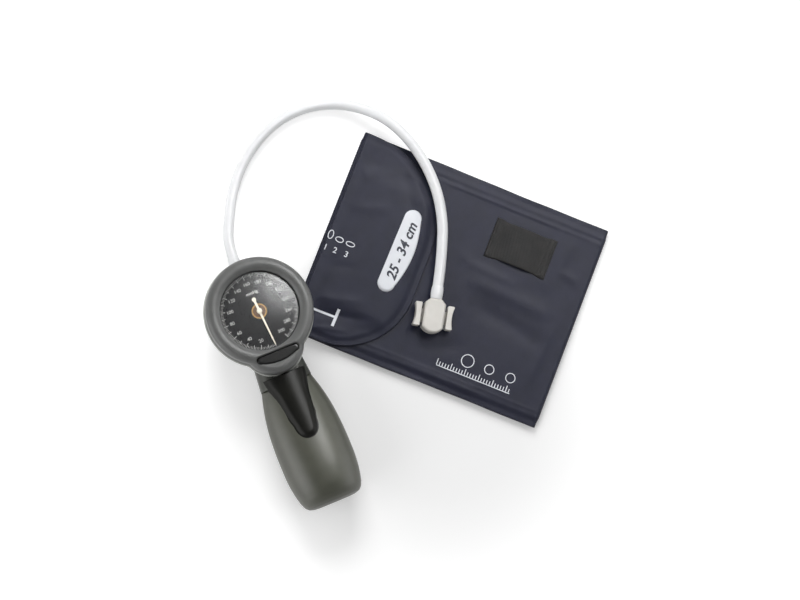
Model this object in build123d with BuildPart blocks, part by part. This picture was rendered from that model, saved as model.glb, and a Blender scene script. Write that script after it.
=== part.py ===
from build123d import *
from math import cos, pi, radians, sin, sqrt, tan
import os

# Aneroid sphygmomanometer: a gauge head with a trigger handle and a squeeze bulb,
# an air hose, and an adult cuff folded in three. Millimetres, Z up, lying on a table.
# Every piece is drawn on one of three level frames: the head's, the cuff's or the port's.
# In the head's frame y points to twelve o'clock, and a reach is a distance the other way.

os.makedirs("parts", exist_ok=True)

# Fits
seat_gap = 0.05  # between fitted pieces that stay together
running_gap = 0.05  # round a pin, shaft or stem, and beside what slides
soft_gap = 0.3  # between soft pieces and what lies beside them

# Where the dial's axis and the cuff's middle stand on the table
dial_spot = (-102.9, 1.7)
dial_turn = 22.0
cuff_spot = (28.3, 27.2)
cuff_turn = -22.0

# Cuff, folded in three panels
cuff_length = 180.0
cuff_width = 144.5
panel_thickness = 2.1
lower_fold_gap = 0.4
flap_fold_gap = 1.3
flap_reach = 71.5  # from the left fold to the flap's rounded end
flap_far_corner = 62.0
flap_near_corner = 50.0
lower_panel_inset = 6.0  # the bottom panel stops short of the left fold

# Hook patch sewn under the flap
hook_thickness = 0.9
hook_length = 42.0
hook_width = 84.0
hook_inset = 15.0
hook_corner = 6.0

# Elastic loop sewn on the middle panel
strap_place = (37.3, 37.9)
strap_length = 44.0
strap_width = 28.5
strap_thickness = 1.2
strap_hem = 5.5
strap_rise = 1.9

# Port on the middle panel
port_place = (-2.1, -28.5)
port_turn = -9.5
port_flange_radius = 9.0
port_flange_thickness = 1.2
spigot_radius = 3.0
spigot_height = 6.0
spigot_bore = 1.3
groove_depth = 0.55
groove_height = 1.5
groove_width = 1.7
seal_wire = 0.45
seal_height = 4.6

# Connector on the port
connector_width = 14.0
connector_length = 23.0
connector_base_thickness = 1.2
connector_depth = 9.2
connector_chamfer = 3.2
connector_tail = 3.4
connector_round = 1.4
socket_headroom = 2.6
line_drop = 0.8  # the air line's axis lies this far below the socket's middle
air_bore = 1.1
tab_length = 16.0
tab_width = 4.8
tab_waist = 1.3
tab_depth = 7.6
tab_round = 0.8
tab_travel = 1.0
tab_slot = 1.7
latch_plate = 0.6
latch_plate_width = 9.0
latch_plate_gap = 0.15
latch_bite = 0.35
latch_end_gap = 1.2
spring_wire = 0.35
tab_spring_radius = 1.3
tab_spring_turns = 4
tab_spring_pocket = 2.6
tab_spring_reach = 6.6

# Air hose and its barbs
hose_radius = 3.6
hose_bore = 2.1
hose_first_run = 17.5
hose_last_run = 17.0
barb_length = 8.0
barb_root = 1.7
barb_ridges = 3
barb_pitch = 2.2

# Head shell
head_lift = 0.5  # the head's back stands this far above the cuff that it lies over
case_radius = 31.5
case_flare = 10.5  # from the back's edge out to the side
case_back_radius = case_radius - case_flare
case_shoulder = 13.5
case_height = 34.2
case_floor = 2.4
chamber_side = 1.0
chamber_radius = case_back_radius - chamber_side
chamber_depth = 6.1
barrel_side = 5.0
barrel_radius = case_radius - barrel_side
dial_seat_depth = 4.0
rim_side = 2.5
rim_bore = case_radius - rim_side
hose_boss_radius = 5.2
hose_boss_stand = 0.1  # beyond the case's side
hose_boss_reach = case_radius + hose_boss_stand
hose_collar_radius = 4.0
hose_collar = 1.4
stem_radius = 2.0

# Bumper with its chin
bumper_side = 3.9
bumper_radius = case_radius + bumper_side
bumper_brim = 5.2  # over the case's rim
bumper_view_radius = case_radius - bumper_brim
bumper_foot = 22.5  # above the head's back
bumper_height = 38.0
bumper_crest_inset = 4.6
bumper_crest_radius = bumper_radius - bumper_crest_inset
bumper_throat = 0.6
bumper_lip = 0.5
bumper_lip_height = 1.6
chin_tuck = 12.5
chin_offset = bumper_radius - chin_tuck
chin_radius = 20.3
chin_blend = 5.0
chin_drop = 1.6
chin_round = 4.5
badge_half = 16.6
badge_top_step = 6.6  # past the chin's centre
badge_low_step = 13.4
badge_end_step = 4.3
badge_top_reach = chin_offset + badge_top_step
badge_low_reach = chin_offset + badge_low_step
badge_end_reach = chin_offset + badge_end_step
badge_thickness = 0.9
badge_recess = 1.1
badge_round = 1.4

# Window and dial
window_flange = 1.4
window_wall = 1.4
window_rise = 2.5
window_clearance = 0.2  # between the dome and the bumper's throat
window_gasket_height = 1.8
window_gasket_width = 1.8
dial_thickness = 0.8
dial_hole = 5.2

# Needle
needle_rest = 3.5  # degrees past six o'clock, at zero
needle_short = 4.6  # of the rim's bore
needle_reach = rim_bore - needle_short
needle_tail = 8.2
needle_base_half = 0.75
needle_tip_half = 0.3
needle_counterweight = 1.4
needle_thickness = 0.4
needle_lift = 0.6
hub_radius = 1.8
hub_neck = 1.0
hub_cap = 1.1
hub_shoulder = 0.65
hub_crown = 1.1
hub_foot_drop = 0.3

# Gear-free movement
diaphragm_thickness = 0.3
diaphragm_inset = 0.3
diaphragm_radius = barrel_radius - diaphragm_inset
diaphragm_seal_thickness = 0.5
corrugation_start = 8.0
corrugation_pitch = 4.0
corrugation_rise = 0.4
corrugations = 3
ring_width = 4.7
ring_bore = diaphragm_radius - ring_width
retaining_ring_thickness = 2.5
retaining_screw_count = 6
screw_inset = 2.3
screw_circle = diaphragm_radius - screw_inset
screw_radius = 0.8
screw_head_radius = 1.5
screw_head_height = 1.1
screw_bite = 4.0
pan_radius = 6.0
pan_thickness = 1.0
pan_boss_radius = 1.6
pan_boss_height = 1.6
spindle_radius = 0.5
spindle_cup = 1.1
collar_radius = 1.45
collar_height = 1.0
collar_lift = 1.2
tube_radius = 4.9
tube_wall = 0.7
tube_low = 4.6  # above the diaphragm
tube_proud = 0.2  # above the dial
jewel_thickness = 1.0
jewel_inset = 0.9
bridge_post_count = 3
bridge_inset = 0.7
bridge_radius = barrel_radius - bridge_inset
bridge_height = 9.6
bridge_thickness = 1.6
post_radius = 2.3
tube_flange_radius = 7.5
tube_flange_thickness = 1.0
ribbon_turns = 5
ribbon_width = 0.7
ribbon_thickness = 0.16
ribbon_pitch = 1.3

# Handle
handle_height = 21.0  # the bulb's middle above the table
neck_sink = 7.5  # into the case, which then cuts it
neck_start = case_radius - neck_sink
neck_end = 49.6
neck_half = 15.2
wing_half = 17.6
neck_floor = 1.45  # under the union
neck_rise = 11.5  # over the bulb's middle
neck_round = 9.0
union_radius = 3.0
union_bore = 1.5
union_bite = 4.6
union_start = case_radius - union_bite
union_end = 37.0
air_passage = 1.7
cross_bore = 1.4
cross_reach = 48.3

# Bulb
bulb_end = 133.6
bulb_half = 24.3
bulb_half_depth = 20.8
bulb_wall = 2.8
bulb_end_wall = 3.2
bulb_spigot = 8.0
bulb_mouth_depth = 14.0
bulb_sections = (  # share of the length, share of the half width, share of the half depth
    (0.0, 0.72, 0.58),
    (0.12, 0.835, 0.70),
    (0.25, 0.925, 0.81),
    (0.45, 0.99, 0.93),
    (0.60, 1.0, 0.985),
    (0.75, 0.985, 1.0),
    (0.88, 0.914, 0.94),
    (0.94, 0.852, 0.86),
    (0.975, 0.778, 0.76),
    (0.992, 0.695, 0.67),
    (1.0, 0.60, 0.58),
)

# Front spine, a glossy tongue that lies on the bulb
spine_waist = 67.0
spine_end = 89.2
spine_half = 12.8
spine_waist_half = 10.8
spine_tip_radius = 6.2
spine_sections = (  # reach, half width, half depth
    (43.9, 20.0, 15.8),
    (58.0, 19.5, 17.6),
    (72.0, 20.0, 19.6),
    (92.0, 22.0, 21.9),
)

# Neck cover, trigger and release valve
cover_half = 9.5
cover_start = 33.0
cover_end = 49.0
cover_bottom = 3.2
cover_bridge = 2.2
cover_screw_reaches = (34.9, 46.8)
cover_screw_side = 7.8
cover_screw_bite = 4.0
trigger_pin_reach = 39.0
trigger_pin_height = 6.2
trigger_pin_radius = 1.0
trigger_hub = 2.1
trigger_web = 1.47  # half the hub's slanting join to the lever
trigger_half = 5.4
trigger_end = 58.0
trigger_thickness = 2.2
trigger_bottom = 2.0
trigger_pad = 1.4
trigger_pad_rise = 0.5
valve_reach = 44.6
valve_sleeve_radius = 2.2
valve_stem_radius = 0.6
valve_stem_play = 0.5  # the stem tilts with the trigger, and the air goes round it
valve_head_radius = 1.4
valve_head_height = 0.6
valve_spring_radius = 1.0
valve_spring_wire = 0.25
valve_spring_turns = 3
valve_pocket_radius = 2.0
valve_drop = 0.15  # of the pocket's floor below the air passage
valve_pocket_height = 3.6
leaf_thickness = 0.3
leaf_sides = (2.2, 4.8)
leaf_reaches = (40.6, 42.4, 48.0)

# Check valves
outlet_seat_radius = 5.0
outlet_seat_thickness = 1.6
outlet_seat_hole = 1.6
outlet_pocket_radius = 4.3
outlet_pocket_depth = 5.6
outlet_disc_radius = 3.4
disc_thickness = 0.8
disc_rest_gap = 0.1
intake_neck_radius = 4.4
intake_head_radius = 6.0
intake_head_length = 5.6
intake_pocket_radius = 3.9
intake_pocket_depth = 3.4
intake_disc_radius = 3.3
intake_lip_bore = 2.4
filter_inset = 0.5
filter_thickness = 1.6


def level_frame(spot, turn):
    """A level plane on the table at a spot, turned about the upright."""
    angle = radians(turn)
    return Plane(origin=(spot[0], spot[1], 0), x_dir=(cos(angle), sin(angle), 0), z_dir=(0, 0, 1))


def facing(base, reach=0, height=0, side=0):
    """A standing plane at a reach and height, looking away from twelve o'clock."""
    spot = base.from_local_coords((side, -reach, height))
    return Plane(origin=spot, x_dir=base.x_dir, z_dir=-base.y_dir)


def outward(base, reach=0, height=0, side=0):
    """A standing plane at a reach and height that looks towards twelve o'clock."""
    spot = base.from_local_coords((side, -reach, height))
    return Plane(origin=spot, x_dir=-base.x_dir, z_dir=base.y_dir)


def sideways(base, side=0):
    """A standing plane that looks along the frame's x: its x is the frame's y, and y is up."""
    return Plane(origin=base.from_local_coords((side, 0, 0)), x_dir=base.y_dir, z_dir=base.x_dir)


def ring(base, outer, low, high, inner=0.0):
    """A disc or ring about the frame's axis between two heights."""
    with BuildPart() as piece:
        with BuildSketch(base.offset(low)):
            Circle(outer)
            if inner > 0:
                Circle(inner, mode=Mode.SUBTRACT)
        extrude(amount=high - low)
    return piece.part


def plug(plane, radius, length, bore=0.0):
    """A rod or tube that starts at a plane and runs along its normal."""
    with BuildPart() as piece:
        with BuildSketch(plane):
            Circle(radius)
            if bore > 0:
                Circle(bore, mode=Mode.SUBTRACT)
        extrude(amount=length)
    return piece.part


def barb(plane):
    """A hose barb along a plane's normal, its ridges sloping towards the open end."""
    ridge = hose_bore - seat_gap
    points = [(air_bore, 0), (barb_root, 0)]
    for index in range(barb_ridges):
        start = barb_length - (barb_ridges - index) * barb_pitch
        points += [(barb_root, start), (ridge, start), (barb_root, start + barb_pitch)]
    points += [(air_bore, barb_length)]
    with BuildPart() as piece:
        with BuildSketch(Plane(origin=plane.origin, x_dir=plane.x_dir, z_dir=-plane.y_dir)):
            Polygon(*points, align=None)
        revolve(axis=Axis(plane.origin, plane.z_dir))
    return piece.part


def coil(plane, radius, wire, turns, length):
    """A compression spring along a plane's normal: a round wire swept along a helix."""
    rise = length - wire
    start = plane.offset(wire / 2)
    with BuildPart() as piece:
        with BuildLine():
            path = Helix(rise / turns, rise, radius, center=start.origin, direction=start.z_dir)
        with BuildSketch(Plane(origin=path @ 0, z_dir=path % 0)):
            Circle(wire / 2)
        sweep(is_frenet=True)
    return piece.part


def screw(plane, bite):
    """A small pan-head screw: its head stands on a plane and its shank runs below it."""
    with BuildPart() as piece:
        with BuildSketch(plane):
            Circle(screw_head_radius)
        extrude(amount=screw_head_height)
        fillet(piece.faces().sort_by(Axis(plane.origin, plane.z_dir))[-1].edges(), screw_head_height / 3)
        with BuildSketch(plane):
            Circle(screw_radius)
        extrude(amount=-bite)
        with BuildSketch(plane.offset(screw_head_height)):
            SlotOverall(screw_head_radius * 1.5, screw_radius * 0.5)
        extrude(amount=-screw_head_height / 2, mode=Mode.SUBTRACT)
    return piece.part


def save(piece, name):
    piece.label = name
    export_step(piece, "parts/" + name + ".step")


head = level_frame(dial_spot, dial_turn)
head_axis = Axis(head.origin, (0, 0, 1))
cuff = level_frame(cuff_spot, cuff_turn)
port_origin = cuff.from_local_coords((port_place[0], port_place[1], 0))
port = level_frame((port_origin.X, port_origin.Y), port_turn)
port_axis = Axis(port.origin, (0, 0, 1))

# Heights of the cuff's panels and of what stands on them
middle_low = panel_thickness + lower_fold_gap
middle_top = middle_low + panel_thickness
flap_low = middle_top + flap_fold_gap
cuff_top = flap_low + panel_thickness
port_seat = middle_top + port_flange_thickness
connector_low = port_seat + soft_gap
base_top = connector_low + connector_base_thickness
connector_top = base_top + connector_depth
spigot_top = port_seat + spigot_height
socket_top = spigot_top + socket_headroom
line_height = (spigot_top + socket_top) / 2 - line_drop

# Heights in the head
head_back = cuff_top + head_lift
chamber_low = head_back + case_floor
capsule_seat = chamber_low + chamber_depth
air_height = (chamber_low + capsule_seat) / 2
case_rim = head_back + case_height
dial_seat = case_rim - dial_seat_depth
dial_top = dial_seat + dial_thickness
window_seat = dial_top + window_gasket_height
window_flange_top = window_seat + window_flange
bumper_low = head_back + bumper_foot
bumper_top = head_back + bumper_height
chin_top = bumper_top - chin_drop
diaphragm_low = capsule_seat + diaphragm_seal_thickness
diaphragm_top = diaphragm_low + diaphragm_thickness
ring_top = diaphragm_top + retaining_ring_thickness
bridge_low = ring_top + bridge_height
bridge_top = bridge_low + bridge_thickness
tube_bottom = diaphragm_top + tube_low
tube_top = dial_top + tube_proud
pan_top = diaphragm_top + pan_thickness
spindle_foot = pan_top + pan_boss_height - spindle_cup
needle_low = dial_top + needle_lift
needle_top = needle_low + needle_thickness

# Cuff: one welded strip folded in three, its top layer a flap with a rounded end
half_length = cuff_length / 2
half_width = cuff_width / 2
lower_turn = (half_length - middle_top / 2, middle_top / 2)
flap_turn = (-half_length + (cuff_top - middle_low) / 2, (cuff_top + middle_low) / 2)
flap_tip = -half_length + flap_reach
bottom_start = -half_length + lower_panel_inset
with BuildPart() as cuff_wrap:
    with BuildSketch(facing(cuff, -half_width)):
        with BuildLine():
            Polyline((bottom_start, panel_thickness), (bottom_start, 0), (lower_turn[0], 0))
            CenterArc(lower_turn, lower_turn[1], -90, 180)
            Line((lower_turn[0], middle_top), (flap_turn[0], middle_top))
            CenterArc(flap_turn, flap_fold_gap / 2, 90, 180)
            Polyline(
                (flap_turn[0], flap_low),
                (flap_tip, flap_low),
                (flap_tip, cuff_top),
                (flap_turn[0], cuff_top),
            )
            CenterArc(flap_turn, cuff_top - flap_turn[1], 90, 180)
            Line((flap_turn[0], middle_low), (lower_turn[0], middle_low))
            CenterArc(lower_turn, lower_fold_gap / 2, -90, 180)
            Line((lower_turn[0], panel_thickness), (bottom_start, panel_thickness))
        make_face()
    extrude(amount=cuff_width)
    with BuildSketch(cuff.offset(middle_top + flap_fold_gap / 2)):
        with BuildLine():
            Line((flap_tip - flap_near_corner, -half_width), (flap_tip + 1, -half_width))
            Line((flap_tip + 1, -half_width), (flap_tip + 1, half_width))
            Line((flap_tip + 1, half_width), (flap_tip - flap_far_corner, half_width))
            far_centre = (flap_tip - flap_far_corner, half_width - flap_far_corner)
            CenterArc(far_centre, flap_far_corner, 0, 90)
            Line((flap_tip, half_width - flap_far_corner), (flap_tip, flap_near_corner - half_width))
            near_centre = (flap_tip - flap_near_corner, flap_near_corner - half_width)
            CenterArc(near_centre, flap_near_corner, 0, -90)
        make_face()
    extrude(amount=flap_fold_gap / 2 + panel_thickness + 1, mode=Mode.SUBTRACT)
save(cuff_wrap.part, "cuff_wrap")

with BuildPart() as hook_patch:
    with BuildSketch(cuff.offset(flap_low - hook_thickness)):
        with Locations((flap_tip - hook_inset - hook_length / 2, 0)):
            RectangleRounded(hook_length, hook_width, hook_corner)
    extrude(amount=hook_thickness)
save(hook_patch.part, "hook_patch")

strap_arch = strap_length / 2 - strap_hem
with BuildPart() as strap_loop:
    with BuildSketch(facing(cuff, -strap_place[1] - strap_width / 2, middle_top, strap_place[0])):
        with BuildLine():
            Line((-strap_length / 2, 0), (-strap_arch, 0))
            ThreePointArc((-strap_arch, 0), (0, strap_rise), (strap_arch, 0))
            Polyline(
                (strap_arch, 0),
                (strap_length / 2, 0),
                (strap_length / 2, strap_thickness),
                (strap_arch, strap_thickness),
            )
            ThreePointArc(
                (strap_arch, strap_thickness),
                (0, strap_rise + strap_thickness),
                (-strap_arch, strap_thickness),
            )
            Polyline(
                (-strap_arch, strap_thickness),
                (-strap_length / 2, strap_thickness),
                (-strap_length / 2, 0),
            )
        make_face()
    extrude(amount=strap_width)
save(strap_loop.part, "strap_loop")

# Port on the cuff, with its latch groove and seal
groove_low = port_seat + groove_height
groove_top = groove_low + groove_width
groove_radius = spigot_radius - groove_depth
seal_middle = port_seat + seal_height
seal_ring = spigot_radius - seal_wire
with BuildPart() as cuff_port:
    with BuildSketch(facing(port)):
        Polygon(
            (spigot_bore, middle_top),
            (port_flange_radius, middle_top),
            (port_flange_radius, port_seat),
            (spigot_radius, port_seat),
            (spigot_radius, groove_low),
            (groove_radius, groove_low),
            (groove_radius, groove_top),
            (spigot_radius, groove_top),
            (spigot_radius, seal_middle - seal_wire - seat_gap),
            (seal_ring - seal_wire - seat_gap, seal_middle - seal_wire - seat_gap),
            (seal_ring - seal_wire - seat_gap, seal_middle + seal_wire + seat_gap),
            (spigot_radius, seal_middle + seal_wire + seat_gap),
            (spigot_radius, spigot_top),
            (spigot_bore, spigot_top),
            align=None,
        )
    revolve(axis=port_axis)
save(cuff_port.part, "cuff_port")

with BuildPart() as port_seal:
    with BuildSketch(facing(port)):
        with Locations((seal_ring, seal_middle)):
            Circle(seal_wire)
    revolve(axis=port_axis)
save(port_seal.part, "port_seal")

# Connector: base, body with its socket and barb, and two sprung side tabs
half_connector = connector_width / 2
half_body = connector_length / 2
socket_radius = spigot_radius + running_gap


def connector_outline():
    """The connector seen from above: chamfered at the hose's end, an arc at the tail."""
    with BuildSketch() as outline:
        with BuildLine():
            Polyline(
                (-half_connector, connector_tail - half_body),
                (-half_connector, half_body - connector_chamfer),
                (connector_chamfer - half_connector, half_body),
                (half_connector - connector_chamfer, half_body),
                (half_connector, half_body - connector_chamfer),
                (half_connector, connector_tail - half_body),
            )
            ThreePointArc(
                (half_connector, connector_tail - half_body),
                (0, -half_body),
                (-half_connector, connector_tail - half_body),
            )
        make_face()
    return outline.sketch


first_plate = base_top + latch_plate_gap
second_plate = first_plate + latch_plate + latch_plate_gap
channel_top = second_plate + latch_plate + latch_plate_gap
spring_height = (channel_top + connector_top) / 2

with BuildPart() as connector_base:
    with BuildSketch(port.offset(connector_low)):
        add(connector_outline())
        Circle(socket_radius, mode=Mode.SUBTRACT)
    extrude(amount=connector_base_thickness)
save(connector_base.part, "connector_base")

with BuildPart() as connector_body:
    with BuildSketch(port.offset(base_top)):
        add(connector_outline())
    extrude(amount=connector_depth)
    fillet(connector_body.faces().sort_by(Axis.Z)[-1].edges(), connector_round)
    with BuildSketch(port.offset(base_top)):
        Rectangle(connector_width + 1, latch_plate_width + 2 * latch_plate_gap)
    extrude(amount=channel_top - base_top, mode=Mode.SUBTRACT)
    add(ring(port, socket_radius, base_top, socket_top), mode=Mode.SUBTRACT)
    for side in (-1, 1):
        pocket = Plane(
            origin=port.from_local_coords((side * half_connector, -tab_spring_reach, spring_height)),
            x_dir=port.y_dir,
            z_dir=-side * port.x_dir,
        )
        add(plug(pocket, tab_spring_radius + spring_wire, tab_spring_pocket), mode=Mode.SUBTRACT)
    add(plug(outward(port, 0, line_height), air_bore, half_body + 1), mode=Mode.SUBTRACT)
    add(barb(outward(port, -half_body, line_height)))
save(connector_body.part, "connector_body")


def squeeze_tab(side, plate_low):
    """A waisted finger pad whose plate crosses the body, so that its far edge latches in the groove."""
    inner = half_connector + tab_slot
    outer = inner + tab_width
    open_radius = socket_radius
    rest = spigot_radius - latch_bite - open_radius
    with BuildPart() as tab:
        with BuildSketch(port.offset(first_plate)):
            with BuildLine():
                Polyline(
                    (side * outer, tab_length / 2),
                    (side * inner, tab_length / 2),
                    (side * inner, -tab_length / 2),
                    (side * outer, -tab_length / 2),
                )
                ThreePointArc(
                    (side * outer, -tab_length / 2),
                    (side * (outer - tab_waist), 0),
                    (side * outer, tab_length / 2),
                )
            make_face()
        extrude(amount=tab_depth)
        fillet(tab.edges().filter_by(Axis.Z), tab_round)
        fillet(tab.faces().sort_by(Axis.Z)[-1].edges(), tab_round / 2)
        with BuildSketch(port.offset(plate_low)):
            far = half_connector - latch_end_gap
            with Locations((side * (inner + 1 - far) / 2, 0)):
                Rectangle(inner + 1 + far, latch_plate_width)
            with Locations((-side * rest, 0), (side * (tab_travel - rest), 0)):
                Circle(open_radius, mode=Mode.SUBTRACT)
            with Locations((side * (tab_travel / 2 - rest), 0)):
                Rectangle(tab_travel, 2 * open_radius, mode=Mode.SUBTRACT)
        extrude(amount=latch_plate)
    return tab.part


def tab_spring(side):
    """The small coil that pushes a tab outwards from its pocket."""
    bottom = Plane(
        origin=port.from_local_coords(
            (side * (half_connector - tab_spring_pocket), -tab_spring_reach, spring_height)
        ),
        x_dir=port.y_dir,
        z_dir=side * port.x_dir,
    )
    return coil(bottom, tab_spring_radius, spring_wire, tab_spring_turns, tab_spring_pocket + tab_slot)


save(squeeze_tab(-1, first_plate), "squeeze_tab_left")
save(squeeze_tab(1, second_plate), "squeeze_tab_right")
save(tab_spring(-1), "latch_spring_left")
save(tab_spring(1), "latch_spring_right")

# Rear case of the head
union_hole = union_radius + seat_gap


def case_form(grow=0.0):
    """The head's shell as a solid: a flat back, a round shoulder and a straight wall."""
    back = case_back_radius + grow
    wall = case_radius + grow
    low = head_back - grow
    shoulder = head_back + case_shoulder
    middle = (back + (wall - back) * sin(pi / 4), shoulder - (shoulder - low) * cos(pi / 4))
    with BuildPart() as form:
        with BuildSketch(facing(head)):
            with BuildLine():
                Line((0, low), (back, low))
                ThreePointArc((back, low), middle, (wall, shoulder))
                Polyline((wall, shoulder), (wall, case_rim), (0, case_rim), (0, low))
            make_face()
        revolve(axis=head_axis)
    return form.part


chamber_wall = outward(head, -chamber_radius, air_height)
barb_end = hose_boss_reach + hose_collar + barb_length
boss_run = hose_boss_reach - chamber_radius
with BuildPart() as rear_case:
    add(case_form())
    add(plug(chamber_wall, hose_boss_radius, boss_run))
    add(ring(head, chamber_radius, chamber_low, capsule_seat), mode=Mode.SUBTRACT)
    add(ring(head, barrel_radius, capsule_seat, dial_seat), mode=Mode.SUBTRACT)
    add(ring(head, rim_bore, dial_seat, case_rim), mode=Mode.SUBTRACT)
    add(plug(outward(head, 0, air_height), stem_radius + seat_gap, barb_end), mode=Mode.SUBTRACT)
    add(plug(facing(head, 0, air_height), union_bore, union_start), mode=Mode.SUBTRACT)
    add(plug(facing(head, union_start - seat_gap, air_height), union_hole, case_radius), mode=Mode.SUBTRACT)
    with BuildSketch(head.offset(capsule_seat)):
        with PolarLocations(screw_circle, retaining_screw_count):
            Circle(screw_radius + seat_gap)
    extrude(amount=-screw_bite, mode=Mode.SUBTRACT)
save(rear_case.part, "rear_case")

with BuildPart() as hose_barb:
    add(plug(chamber_wall, stem_radius, boss_run))
    add(plug(outward(head, -hose_boss_reach, air_height), hose_collar_radius, hose_collar))
    add(plug(outward(head, 0, air_height), air_bore, barb_end), mode=Mode.SUBTRACT)
    add(barb(outward(head, -hose_boss_reach - hose_collar, air_height)))
save(hose_barb.part, "hose_barb")

# Bumper with its chin


def bumper_outline(grow=0.0):
    """The bumper seen from above: the ring and the chin's arc with a hollow blend between them."""
    large = bumper_radius + grow
    small = chin_radius + grow
    blend = chin_blend - grow
    blend_y = ((small + blend) ** 2 - (large + blend) ** 2 - chin_offset**2) / (2 * chin_offset)
    blend_x = sqrt((large + blend) ** 2 - blend_y**2)
    centre = Vector(blend_x, blend_y)
    chin_centre = Vector(0, -chin_offset)
    on_ring = centre * (large / (large + blend))
    on_chin = chin_centre + (centre - chin_centre) * (small / (small + blend))
    on_blend = centre + ((on_ring + on_chin) / 2 - centre).normalized() * blend
    ring_left, chin_left, blend_left = (Vector(-spot.X, spot.Y) for spot in (on_ring, on_chin, on_blend))
    with BuildSketch() as outline:
        with BuildLine():
            ThreePointArc(on_ring, (0, large), ring_left)
            ThreePointArc(ring_left, blend_left, chin_left)
            ThreePointArc(chin_left, (0, -chin_offset - small), on_chin)
            ThreePointArc(on_chin, on_blend, on_ring)
        make_face()
    return outline.sketch


def badge_outline(grow=0.0):
    """A plate like a shallow boat: its upper edge follows the dial, its lower edge the chin."""
    left = (-badge_half, -badge_end_reach)
    right = (badge_half, -badge_end_reach)
    with BuildSketch() as outline:
        with BuildLine():
            ThreePointArc(left, (0, -badge_top_reach), right)
            ThreePointArc(right, (0, -badge_low_reach), left)
        make_face()
        offset(amount=-badge_round)
        offset(amount=badge_round + grow, kind=Kind.ARC)
    return outline.sketch


window_bore = bumper_view_radius
badge_low = chin_top - badge_recess
with BuildPart() as bumper:
    with BuildSketch(head.offset(bumper_low)):
        add(bumper_outline())
    extrude(amount=chin_top - bumper_low)
    fillet(bumper.faces().sort_by(Axis.Z)[-1].edges(), chin_round)
    with BuildSketch(head.offset(bumper_low)):
        add(bumper_outline(bumper_lip))
    extrude(amount=bumper_lip_height)
    with BuildSketch(facing(head)):
        with BuildLine():
            Polyline(
                (bumper_crest_radius, bumper_top),
                (bumper_crest_radius, case_rim),
                (bumper_radius, case_rim),
            )
            ThreePointArc(
                (bumper_radius, case_rim),
                (
                    bumper_crest_radius + (bumper_radius - bumper_crest_radius) * sin(pi / 4),
                    case_rim + (bumper_top - case_rim) * cos(pi / 4),
                ),
                (bumper_crest_radius, bumper_top),
            )
        make_face()
        with BuildLine():
            Polyline(
                (bumper_crest_radius, bumper_top),
                (bumper_crest_radius, case_rim),
                (window_bore, case_rim),
                (window_bore, case_rim + bumper_throat),
            )
            ThreePointArc(
                (window_bore, case_rim + bumper_throat),
                (
                    bumper_crest_radius - (bumper_crest_radius - window_bore) * sin(pi / 4),
                    case_rim + bumper_throat + (bumper_top - case_rim - bumper_throat) * cos(pi / 4),
                ),
                (bumper_crest_radius, bumper_top),
            )
        make_face()
    revolve(axis=head_axis)
    add(ring(head, case_radius + seat_gap, bumper_low, case_rim + seat_gap), mode=Mode.SUBTRACT)
    with BuildSketch(facing(head)):
        Polygon(
            (0, case_rim),
            (window_bore, case_rim),
            (window_bore, case_rim + bumper_throat),
            (bumper_crest_radius, bumper_top + 1),
            (0, bumper_top + 1),
            align=None,
        )
    revolve(axis=head_axis, mode=Mode.SUBTRACT)
    with BuildSketch(head.offset(badge_low)):
        add(badge_outline(seat_gap))
    extrude(amount=bumper_height, mode=Mode.SUBTRACT)
save(bumper.part, "bumper")

with BuildPart() as badge_plate:
    with BuildSketch(head.offset(badge_low)):
        add(badge_outline())
    extrude(amount=badge_thickness)
save(badge_plate.part, "badge_plate")

# Dial, gasket and domed window
dial_radius = rim_bore - seat_gap
save(ring(head, dial_radius, dial_seat, dial_top, dial_hole), "dial_plate")
save(ring(head, dial_radius, dial_top, window_seat, dial_radius - window_gasket_width), "window_gasket")

dome_edge = bumper_view_radius - window_clearance
dome_radius = (dome_edge**2 + window_rise**2) / (2 * window_rise)


def dome_height(radius, crown):
    """Height of the window's dome at a distance from its axis, under a crown."""
    return crown - dome_radius + sqrt(dome_radius**2 - radius**2)


window_crown = window_flange_top + window_rise
inner_crown = window_crown - window_wall
inner_edge = dome_edge - window_wall
with BuildPart() as window:
    with BuildSketch(facing(head)):
        with BuildLine():
            ThreePointArc(
                (0, window_crown),
                (dome_edge / 2, dome_height(dome_edge / 2, window_crown)),
                (dome_edge, window_flange_top),
            )
            Polyline(
                (dome_edge, window_flange_top),
                (dial_radius, window_flange_top),
                (dial_radius, window_seat),
                (inner_edge, window_seat),
                (inner_edge, dome_height(inner_edge, inner_crown)),
            )
            ThreePointArc(
                (inner_edge, dome_height(inner_edge, inner_crown)),
                (inner_edge / 2, dome_height(inner_edge / 2, inner_crown)),
                (0, inner_crown),
            )
            Line((0, inner_crown), (0, window_crown))
        make_face()
    revolve(axis=head_axis)
save(window.part, "window")

# Needle on its hub and spindle
with BuildPart() as needle:
    with BuildSketch(head.offset(needle_low).rotated((0, 0, needle_rest))):
        Polygon(
            (-needle_base_half, 0),
            (-needle_tip_half, -needle_reach),
            (needle_tip_half, -needle_reach),
            (needle_base_half, 0),
            (needle_base_half, needle_tail),
            (-needle_base_half, needle_tail),
            align=None,
        )
        with Locations((0, needle_tail)):
            Circle(needle_counterweight)
        Circle(hub_radius)
        Circle(hub_neck + seat_gap, mode=Mode.SUBTRACT)
    extrude(amount=needle_thickness)
save(needle.part, "needle")

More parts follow.
